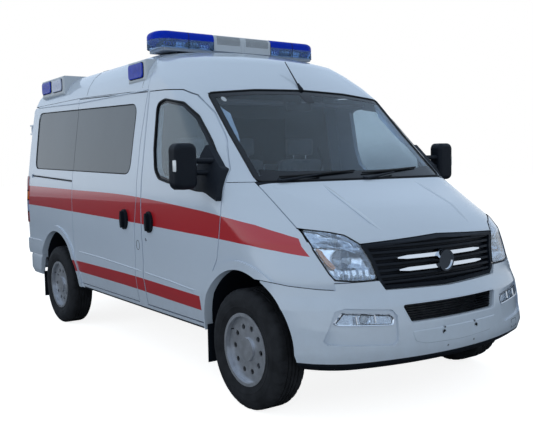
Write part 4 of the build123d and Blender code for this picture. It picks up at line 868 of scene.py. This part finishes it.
# -------------------------------------------------------- swage lines, drips, seams
LEDGE_Y, LEDGE_Z = (-1100, -829, -278, 386, 860, 1024), (640, 657, 680, 703, 712, 715)
DRIP_Y, DRIP_Z = (F + 1290, 946, 2096), (1976, 1992, 2035)
RAIL = ((R - 428, 1317), (R + 690, 1364))
for side_name, side in SIDES:
    for part, low, high, body in (("door", -1180, F + 1264, f"front_door_{side_name}"),
                                  ("side", F + 1280, 870, "body")):
        ys = np.arange(low, high, 22.0)
        path = on_side(side, -3.0)(np.stack((ys, np.interp(ys, LEDGE_Y, LEDGE_Z)), 1))
        radii = np.interp(np.linspace(0, 1, len(ys)), (0, 0.06, 0.94, 1), (3.2, 7, 7, 3.2))
        tube(f"swage_{part}_{side_name}", path, radii, "paint_white", body, sides=10)
    ys = np.arange(F + 1290, R + 690, 40.0)
    tube(f"roof_drip_{side_name}", on_side(side, 1.0)(np.stack((ys, np.interp(ys, DRIP_Y, DRIP_Z)), 1)), 6.5,
         "paint_white", sides=8)
    strip = [(y, 402.0) for y in np.arange(F + 480, R - 540, 40.0)]
    tube(f"sill_strip_{side_name}", on_side(side, -6.0)(strip), 9.0, "black_plastic", sides=8)
    for i, (y, low) in enumerate(((819.0, 2046), (-300.0, 2000))):
        seam = on_side(side, -1.2)([(y, z) for z in np.linspace(low, 2270, 16)])
        tube(f"roof_seam_{i}_{side_name}", seam, 2.4, "rubber")
lathe("door_lock_right", [(0, 12), (2.4, 11), (2.4, 6), (0.8, 5), (0.8, 0)], on_side(-1)([(-484, 913)])[0],
      (-1, 0, 0), "chrome", "front_door_right", 24)
tube("fuel_flap_seam", on_side(-1)(circle((-345, 863), 26, 34, 39)), 1.8, "rubber", closed=True)
# painted shade: a dark rubber strip deep in the rail recess stands in for the shade inside the sliding door
# rail's slot
tube("slide_rail_slot_shade", on_side(-1, -10.5)(np.linspace(*RAIL, 30)), 7.0, "rubber", sides=8, flat=0.6)


# ---------------------------------------------------------------- wheels, tyres
HUB_X, HUB_Z = 867.0, 354.6
TYRE_HALF = ((-88, 203.6), (-92, 214), (-96, 228), (-101, 240), (-104, 250), (-105.2, 252), (-105.6, 256),
             (-104.6, 258), (-106.4, 270), (-107.3, 280), (-106.8, 292), (-106.9, 297), (-105.8, 299),
             (-104.2, 306), (-99.5, 321), (-93.0, 335), (-86, 344), (-79, 349.4), (-70, 353), (-60, 354.2))
RIM_LIP = ((88.5, 211), (91.5, 214.6), (93.5, 214.8), (93.8, 212), (91, 209.5), (88, 209.5), (88.5, 211))
GROOVES = (-38, -12, 12, 38)


def tyre_radius(a, r, k):
    """The radius at a step around the tyre, lower in the shoulder's and the tread's cross cuts."""
    if abs(a) > 41 and r > 335 and k % 5 == 0:
        return r - 5.5
    if 14 < abs(a) < 36 and r > 350 and k % 5 == 2:
        return r - 4.0
    return r


def build_tyre(end, side_name, hub, segments=150):
    """From the inner bead, over the tread, to the outer bead."""
    tread = [(c + a, r) for c in GROOVES for a, r in ((-4, 354.5), (-3, 347), (3, 347), (4, 354.5))]
    profile = [*TYRE_HALF, *tread, *((-a, r) for a, r in reversed(TYRE_HALF))]
    verts = []
    for a, r in profile:
        for k in range(segments):
            angle = 2 * math.pi * (k + 0.5 * (a > 0)) / segments
            radius = tyre_radius(a, r, k)
            verts.append(hub + np.array((a, math.cos(angle) * radius, math.sin(angle) * radius)))
    from_arrays(f"tyre_visual_{end}_{side_name}", verts, strips(len(profile), segments), "tyre",
                f"wheel_{end}_{side_name}", 32, f"tyre_{end}_{side_name}")


for end, axle_y in AXLE_Y.items():
    for side_name, side in SIDES:
        hub = np.array((side * HUB_X, axle_y, HUB_Z))
        outward = (side, 0, 0)
        build_tyre(end, side_name, hub)
        lathe(f"valve_{end}_{side_name}", [(60, 0), (60, 4), (76, 3.4), (78, 2.6), (84, 2.6), (84, 0)],
              hub + (0, 150, 96), outward, "rubber", f"wheel_{end}_{side_name}", 12)
        lathe(f"rim_lip_{end}_{side_name}", RIM_LIP, hub, outward, "wheel_silver", f"wheel_{end}_{side_name}",
              90)

# -------------------------------------------------------------------- light bar
BAR_Y = F + 1510
LENS_Z = 2308
BLUE_FROM_Z = 2372
LENS_GAP = (486, 492)
FOOT_Z = (2262, 2306)
MODULES = ((296, 372), (392, 476), (506, 584), (602, 680))
CUP = [(-8, 5), (0, 9), (6, 12.5), (8, 13.5), (6, 14), (-8, 14)]
SPEAKER_RIB = ((-132, 4), (-132, 82), (-120, 112), (-90, 124.5))
BAR_JOINT = ((-133, 3), (-133, 84), (-118, 113), (-88, 124), (88, 124), (133, 84), (133, 3))


def bar_lens(side_name, side):
    """Clear below, blue above, with a dark joint between its two lengths; a 3 mm wall."""
    bm = node_bmesh("light_bar_lenses", side, lambda f: f.normal.z >= -0.9)
    slice_flat(bm, (0, 0, BLUE_FROM_Z / 1000), (0, 0, 1))
    for x in reversed(LENS_GAP):
        slice_flat(bm, (side * x / 1000, 0, 0), (1, 0, 0))
    for f in bm.faces:
        c = f.calc_center_median() * 1000
        f.material_index = 2 if LENS_GAP[0] < abs(c.x) < LENS_GAP[1] else int(c.z <= BLUE_FROM_Z)
    obj = make_piece(bm, f"light_bar_lens_{side_name}", "lens_blue_clear lens_clear_blue black_plastic",
                     node="light_bar_lenses", sharp=40)
    wall = obj.modifiers.new("wall", "SOLIDIFY")
    wall.thickness = 0.003
    wall.offset = -1
    wall.use_rim = True
    wall.material_offset = 0


for side_name, side in SIDES:
    bar_lens(side_name, side)
    block(f"bar_tray_{side_name}", (side * 285, BAR_Y - 112, LENS_Z + 1),
          (side * 700, BAR_Y + 112, LENS_Z + 14), "cabinet", bevel=4)
    for i, (x0, x1) in enumerate(MODULES):
        block(f"bar_module_{side_name}_{i}", (side * x0, BAR_Y - 100, LENS_Z + 14),
              (side * x1, BAR_Y + 100, LENS_Z + 58), "reflector" if i in (0, 2) else "black_gloss", bevel=5)
        for k, front in enumerate((-1, 1)):
            for j in range(3):
                place = (side * (x0 + x1) / 2 + (j - 1) * 26, BAR_Y + front * 101, LENS_Z + 36)
                lathe(f"bar_cup_{side_name}_{i}_{k}_{j}", CUP, place, (0, front, 0),
                      "reflector" if i in (1, 2) else "lens_blue", segments=18)
    for i, x in enumerate((345, 545, 640)):
        lathe(f"bar_rotor_{side_name}_{i}", [(0, 26), (4, 30), (34, 30), (44, 22), (46, 0)],
              (side * x, BAR_Y, LENS_Z + 58), (0, 0, 1), "lens_blue", segments=20)
    lathe(f"bar_foot_bolt_{side_name}", [(9, 0), (9, 8), (6, 11), (0, 11), (0, 0)],
          (side * 500, BAR_Y - 61, FOOT_Z[0]), (0, -1, 0), "chrome", segments=6)
    for end, y in (("", -92), ("_rear", 56)):
        block(f"bar_foot_{side_name}{end}", (side * 446, BAR_Y + y, FOOT_Z[0]),
              (side * 554, BAR_Y + y + 36, FOOT_Z[1]), "black_plastic", bevel=8, segments=3)


def speaker_holes():
    """Rows of round marks that climb the speaker's front and follow its turn onto the top."""
    verts = []
    for x_mid in (-134, 134):
        for row in range(9):
            rise = 22 + row * 8.2
            turn = max(0.0, (rise - 52) / 42)
            n = np.array((0, -math.cos(turn), math.sin(turn)))
            if rise < 52:
                y, z = BAR_Y - 132.4, LENS_Z + 31 + rise
            else:
                y, z = BAR_Y - 90 + n[1] * 42.4, LENS_Z + 83 + n[2] * 42.4
            w = np.cross(n, (1, 0, 0))
            for column in range(25):
                x = x_mid + (column - 12) * 8.6 + (row % 2) * 4.3
                for k in range(8):
                    angle = 2 * math.pi * k / 8
                    verts.append(np.array((x + math.cos(angle) * 2.9, y, z)) + w * math.sin(angle) * 2.9)
    faces = [tuple(range(start, start + 8)) for start in range(0, len(verts), 8)]
    from_arrays("speaker_grille_holes", verts, faces, "black_plastic")


speaker_holes()
for i, x in enumerate((-16, 16, -252, 252)):
    tube(f"speaker_rib_{i}", [(x, BAR_Y + y, LENS_Z + z) for y, z in SPEAKER_RIB], 2.2, "cabinet")
for i, x in enumerate((-269, 269)):
    tube(f"bar_joint_{i}", [(x, BAR_Y + y, LENS_Z + z) for y, z in BAR_JOINT], 2.4, "rubber")

# ------------------------------------------------------------------ side lamps
BEACONS = ((F + 1500, 2130, 884, "lens_blue"), (R + 138, 2200, 862, "lens_pale"),
           (R + 432, 2206, 862, "lens_blue"))


def rectangle(low, high):
    return (low, (high[0], low[1]), high, (low[0], high[1]))


for side_name, side in SIDES:
    for i, (y, z, x_out, material) in enumerate(BEACONS):
        bm = node_bmesh("side_beacons", side, lambda f: abs(f.calc_center_median().y * 1000 - y) <= 130)
        make_piece(bm, f"side_lamp_{side_name}_{i}", material, node="side_beacons", sharp=35)
        for k in range(9):
            rib = [(side * (x_out + out), y + (k - 4) * 22, z + rise)
                   for out, rise in ((-0.6, -44), (0.2, 0), (-0.6, 44))]
            tube(f"side_lamp_rib_{side_name}_{i}_{k}", rib, 1.3, material)
        rim = rounded(rectangle((y - 120, z - 55), (y + 120, z + 55)), 26)
        tube(f"side_lamp_seal_{side_name}_{i}", [(side * (x_out - 12), *p) for p in rim], 3.2,
             "rubber", closed=True)

# --------------------------------------------------------------------- mirrors
MIRROR_BACK = F + 398.6
MIRROR_SEAM = ((1066, 1288), (1135, 1285.5), (1202, 1289))


def on_mirror(side):
    """(x, z) to a place on one mirror's flat back."""
    def place(points):
        return np.array([(side * x, MIRROR_BACK, z) for x, z in points])
    return place


for side_name, side in SIDES:
    door = f"front_door_{side_name}"
    outline = rounded(rectangle((1078, 1306), (1192, 1542)), 24)
    patch(f"mirror_glass_{side_name}", outline, on_mirror(side), "mirror", 20, body=door)
    tube(f"mirror_bezel_{side_name}", on_mirror(side)(outline), 3.0, "black_plastic", door, True, 8)
    block(f"mirror_indicator_{side_name}", (side * 1196, F + 312, 1392), (side * 1211, F + 346, 1462),
          "glass_bright", door, 6, 3)
    tube(f"mirror_seam_{side_name}", [(side * x, F + 352, z) for x, z in MIRROR_SEAM], 1.6, "rubber", door)


# -------------------------------------------------------------------- interior
FLOOR = 600
SEATS = ((230, 730), (-780, -330), (-325, 130))      # driver, outer and middle passenger: x from, to
BELT = ((0, 1352, 1560), (-60, 1232, 1430), (-260, 1180, 980))
CHANNEL_DEPTH, CHANNEL_WIDTH = 5.0, 5


def cushion(name, low, high, pull=10.0, crown=14.0, channels=0):
    """A stuffed pad between two corners: crowned faces, sides pulled in, sewn channels."""
    low, high = np.array(low, float), np.array(high, float)
    middle, half = (low + high) / 2, (high - low) / 2
    thin = int(np.argmin(half))
    size = half - crown * (np.arange(3) == thin)
    first, second = (i for i in range(3) if i != thin)
    bm = bmesh.new()
    bmesh.ops.create_cube(bm, size=2)
    bmesh.ops.subdivide_edges(bm, edges=list(bm.edges), cuts=22, use_grid_fill=True)
    for v in bm.verts:
        c = np.array(v.co)
        belly = max(0.0, (1 - c[first] ** 2) * (1 - c[second] ** 2)) ** 0.5
        c = c / max((np.abs(c) ** 6.0).sum() ** (1 / 6.0), 1e-6) * 0.985
        p = c * size
        p[thin] += math.copysign(crown * belly, c[thin]) * min(1, abs(c[thin]) * 1.4)
        for i, j in ((first, second), (second, first)):
            p[i] -= math.copysign(pull * (1 - c[j] ** 2) * abs(c[i]) ** 3, c[i])
        for k in range(channels):
            place = (k + 1) / (channels + 1) * 2 - 1
            if abs(c[thin]) > 0.5:
                dip = CHANNEL_DEPTH * math.exp(-((c[first] - place) * half[first] / CHANNEL_WIDTH) ** 2)
                p[thin] -= math.copysign(dip, c[thin])
        v.co = Vector((p + middle) / 1000)
    obj = make_piece(bm, name, "cloth", sharp=60)
    return obj


for i, (low, high) in enumerate(SEATS):
    seat = cushion(f"seat_cushion_{i}", (low, F + 805, 782), (high, F + 1240, 928), channels=2)
    cushion(f"seat_back_{i}", (low + 12, F + 1222, 905), (high - 12, F + 1343, 1478), channels=2)
    cushion(f"seat_headrest_{i}", (low + 115, F + 1247, 1492), (high - 115, F + 1333, 1638), pull=6, crown=10)
    if i == 0:
        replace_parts(seat, "seats")
    for k, x in enumerate(((low + high) / 2 - 62, (low + high) / 2 + 62)):
        tube(f"headrest_post_{i}_{2 * k}", [(x, F + 1290, 1440), (x, F + 1290, 1520)], 6, "chrome", sides=8)
    for k, x in enumerate((low + 8, high - 8)):
        tube(f"seat_piping_{i}_{k}", [(x, F + 860, 880), (x, F + 1180, 880)], 2.5, "rubber", sides=8)
    block(f"seat_pedestal_{i}", (low + 40, F + 900, FLOOR), (high - 40, F + 1290, 786), "interior", bevel=14,
          segments=3)
for name, x in (("driver", 735), ("middle", 135)):
    tube(f"seat_belt_{name}", [(x + dx, F + y, z) for dx, y, z in BELT], 20, "rubber", flat=0.12)


def cab_block(name, low, high, material, bevel, segments, turn=None):
    """A block whose corners are given from the front axle."""
    block(name, np.add(low, (0, F, 0)), np.add(high, (0, F, 0)), material, "body", bevel, segments, turn)


cab_block("instrument_hood", (300, 330, 1246), (660, 455, 1318), "interior", 28, 5)
cab_block("dash_shelf", (-760, 120, 1248), (250, 430, 1278), "interior", 12, 4)
cab_block("dash_console", (-95, 440, 980), (95, 478, 1172), "black_gloss", 10, 3)
cab_block("cab_mirror", (-110, 665, 1800), (110, 690, 1862), "black_plastic", 12, 4)
for i, x in enumerate((-700, -40, 40, 700)):
    cab_block(f"dash_vent_{i}", (x - 45, 440, 1180), (x + 45, 474, 1240), "black_gloss", 10, 3)
    for k, z in enumerate(range(1191, 1239, 12)):
        tube(f"dash_vent_slat_{i}_{k}", [(x - 38, F + 475, z), (x + 38, F + 475, z)], 1.8, "black_plastic")
for side_name, side in SIDES:
    cab_block(f"sun_visor_{side_name}", (side * 80, 735, 1842), (side * 690, 775, 1872), "visor_grey", 9, 3,
              Matrix.Rotation(math.radians(-32), 3, "X"))
tube("gear_lever", [(0, F + 560, 620), (0, F + 575, 860), (0, F + 590, 930)], (9, 8, 20), "black_plastic",
     sides=12)
tube("cab_mirror_stem", [(0, F + 655, 1885), (0, F + 672, 1845)], 8, "black_plastic", sides=8)


# ------------------------------------------------------------------------ rear
TAIL_EDGES = (1000, 1012, 1118, 1130, 1210, 1222)
TAIL_ZONES = (0, 1, 2, 1, 3, 1, 0)        # red, joint, pale, joint, amber, joint, red
PLATE_X, PLATE_Z = (-640, -200), (772, 892)
RECESS = rectangle((96, 700), (752, 1040))
for side_name, side in SIDES:
    bm = node_bmesh("tail_lamps", side)
    slice_heights(bm, TAIL_EDGES)
    for f in bm.faces:
        f.material_index = TAIL_ZONES[sum(f.calc_center_median().z * 1000 > edge for edge in TAIL_EDGES)]
    make_piece(bm, f"tail_lamp_{side_name}", "lens_red rubber lens_pale amber", node="tail_lamps", sharp=35)
    for k, z in enumerate(range(918, 1350, 24)):
        tube(f"tail_lamp_rib_{side_name}_{k}", on_rear(7.8)([(side * 885, z), (side * 930, z)]), 1.6,
             "rubber" if z in (1014, 1110) else "lens_red")
    door = f"rear_door_{side_name}"
    tube(f"rear_door_press_{side_name}", on_rear(-1.6)(soft(to_side(RECESS, side), 50, 30)), 4.0,
         "paint_white", door, True, 8)
    for k, (z, material) in enumerate(((1100, "paint_red"), (1330, "paint_white"))):
        rib = on_rear(-2.0)(np.linspace((side * 60, z), (side * 790, z), 14))
        tube(f"rear_door_rib_{side_name}_{k}", rib, 4.0, material, door, sides=8)
tube("rear_door_gasket", on_rear(-4.0)(np.linspace((0, 612), (0, 2026), 30)), 3.0, "rubber", "rear_door_left")
plate_y = float(skin_y([-420], [840], rear=True)[0])
block("rear_plate_blank", (PLATE_X[0], plate_y - 6, PLATE_Z[0]), (PLATE_X[1], plate_y + 4, PLATE_Z[1]),
      "grey_plastic", "rear_door_right")
block("rear_plate_lamp", (-500, plate_y - 4, 905), (-340, plate_y + 16, 930), "black_plastic",
      "rear_door_right", 7, 3)
for i, x in enumerate((-560, -280)):
    lathe(f"rear_plate_screw_{i}", [(3, 0), (6, 0.01), (6, 5), (4, 8), (2, 8)], (x, plate_y, 832), BACKWARD,
          "chrome", "rear_door_right", 16)
for k, back in enumerate((34, 52, 70, 88)):
    tread = [(x, R + 1048 - back - 50 * (x / 690) ** 2, 591.5) for x in np.linspace(-760, 760, 60)]
    tube(f"step_tread_{k}", tread, 4.5, "rubber", sides=8)

# ---------------------------------------------------------- aerial, bonnet creases
WHIP_FOOT, WHIP_TOP = (0, F + 652, 1952), (0, F + 831, 2169)
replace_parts(tube("antenna_whip", np.linspace(WHIP_FOOT, WHIP_TOP, 11), np.linspace(5.5, 3.2, 11),
                 "black_plastic", sides=12), "antenna")
lathe("antenna_foot", [(-14, 19), (4, 19), (14, 15), (34, 9), (52, 6.5), (56, 0)], WHIP_FOOT, (0, 0.5, 0.82),
      "black_plastic", segments=24)
for side_name, side in SIDES:
    zs = np.linspace(1036, 1296, 26)
    xs = side * np.interp(zs, (1036, 1154, 1300), (366, 404, 392))
    radii = np.interp(np.linspace(0, 1, 26), (0, 0.2, 0.85, 1), (2.0, 6.5, 6.0, 2.0))
    tube(f"bonnet_crease_{side_name}", on_front(-5.0)(np.stack((xs, zs), 1)), radii, "paint_white", "bonnet",
         sides=16, flat=3.4)


# ------------------------------------------------------------- stage and camera
FLOOR_GLOW = 0.86
SKY = ((0.0, (0.38, 0.42, 0.48)), (0.04, (0.85, 0.92, 1.0)), (0.45, (0.62, 0.78, 1.0)))
LAMPS = (    # name, place and target in metres, size, power, colour
    ("overhead", (-0.8, -0.8, 6.5), (0, 0, 0.5), (8, 8), 60, (0.82, 0.92, 1.0)),
    ("front_fill", (-4.0, -9.0, 4.5), (0, -1.5, 1.0), (5, 4), 85, (0.92, 0.97, 1.0)),
    ("side_fill", (-9.0, 1.5, 4.0), (-1.0, 0.8, 1.2), (6, 4), 105, (0.95, 0.98, 1.0)))
PICTURE = (533, 426)
FOCAL, CENTRE = 726.3046, (256.2605, 225.1258)       # pixels
CAMERA_PLACE = (-3.24527, -5.15381, 1.42043)
CAMERA_AXES = ((0.82227305, -0.56873248, -0.02025846), (0.06309928, 0.055735, 0.99644974),
               (-0.56558423, -0.82063206, 0.081716))


def area_light(name, place, target, size, power, colour):
    data = bpy.data.lights.new(name, "AREA")
    data.shape = "RECTANGLE"
    data.size, data.size_y = size
    data.energy = power
    data.color = colour
    obj = bpy.data.objects.new(name, data)
    bpy.context.scene.collection.objects.link(obj)
    obj.location = place
    obj.rotation_euler = (Vector(target) - Vector(place)).to_track_quat("-Z", "Y").to_euler()
    obj.visible_glossy = False


def floor_material():
    """Pale and lit; near white to the camera, and darker where gloss mirrors it, as tarmac would be."""
    material, tree, shader = new_material("stage_floor")
    cloud = noise(tree, coordinates(tree), 0.7, 4.0)
    base = ramp(tree, cloud, ((0.3, (0.76, 0.77, 0.78)), (0.7, (0.80, 0.81, 0.82))))
    tree.links.new(base, shader.inputs["Base Color"])
    shader.inputs["Roughness"].default_value = 0.9
    shader.inputs["Specular IOR Level"].default_value = 0.1
    path = shader_node(tree, "LightPath")
    glow = shader_node(tree, "Emission", {"Color": (1, 1, 1, 1), "Strength": FLOOR_GLOW})
    seen = shader_node(tree, "AddShader", links={0: shader.outputs[0], 1: glow.outputs[0]})
    mirrored = shader_node(tree, "BsdfDiffuse", {"Color": (0.11, 0.12, 0.14, 1)})
    by_gloss = shader_node(tree, "MixShader", links={
        0: path.outputs["Is Glossy Ray"], 1: shader.outputs[0], 2: mirrored.outputs[0]})
    by_camera = shader_node(tree, "MixShader", links={
        0: path.outputs["Is Camera Ray"], 1: by_gloss.outputs[0], 2: seen.outputs[0]})
    output = next(n for n in tree.nodes if n.type == "OUTPUT_MATERIAL")
    tree.links.new(by_camera.outputs[0], output.inputs[0])
    return material


def build_floor():
    bm = bmesh.new()
    bmesh.ops.create_circle(bm, cap_ends=True, segments=96, radius=60)
    mesh = bpy.data.meshes.new("stage_floor")
    bm.to_mesh(mesh)
    bm.free()
    floor = bpy.data.objects.new("stage_floor", mesh)
    bpy.context.scene.collection.objects.link(floor)
    floor.location.z = -0.001
    dress(floor, floor_material())


def build_world():
    """White to the camera and through glass, a sky to gloss, and a soft blue light to the rest."""
    world = bpy.data.worlds.new("studio")
    bpy.context.scene.world = world
    world.use_nodes = True
    tree = world.node_tree
    tree.nodes.clear()
    path = shader_node(tree, "LightPath").outputs
    place = shader_node(tree, "TexCoord")
    height = shader_node(tree, "SeparateXYZ", links={0: place.outputs["Generated"]})
    sky = ramp(tree, height.outputs["Z"], SKY)
    tint = shader_node(tree, "Mix", {"A": (1, 1, 1, 1)}, {"Factor": path["Is Glossy Ray"], "B": sky},
                       data_type="RGBA")
    seen = shader_node(tree, "Background", {"Strength": 1.0}, {"Color": tint.outputs["Result"]})
    lit = shader_node(tree, "Background", {"Color": (0.80, 0.91, 1.0, 1), "Strength": 0.40})
    either = shader_node(tree, "Math", links={0: path["Is Camera Ray"], 1: path["Is Transmission Ray"]},
                         operation="MAXIMUM")
    any_of = shader_node(tree, "Math", links={0: either.outputs[0], 1: path["Is Glossy Ray"]},
                         operation="MAXIMUM")
    mix = shader_node(tree, "MixShader", links={0: any_of.outputs[0], 1: lit.outputs[0], 2: seen.outputs[0]})
    shader_node(tree, "OutputWorld", links={0: mix.outputs[0]})


def build_camera():
    width, height = PICTURE
    data = bpy.data.cameras.new("camera")
    data.sensor_fit = "HORIZONTAL"
    data.sensor_width = 36.0
    data.lens = FOCAL / width * data.sensor_width
    data.shift_x = (width / 2 - CENTRE[0]) / width
    data.shift_y = (CENTRE[1] - height / 2) / width
    data.clip_start = 0.05
    data.clip_end = 200
    camera = bpy.data.objects.new("camera", data)
    bpy.context.scene.collection.objects.link(camera)
    camera.matrix_world = Matrix.Translation(CAMERA_PLACE) @ Matrix(CAMERA_AXES).transposed().to_4x4()
    bpy.context.scene.camera = camera


build_floor()
build_world()
for lamp in LAMPS:
    area_light(*lamp)
build_camera()
bpy.context.scene.view_settings.view_transform = "Standard"
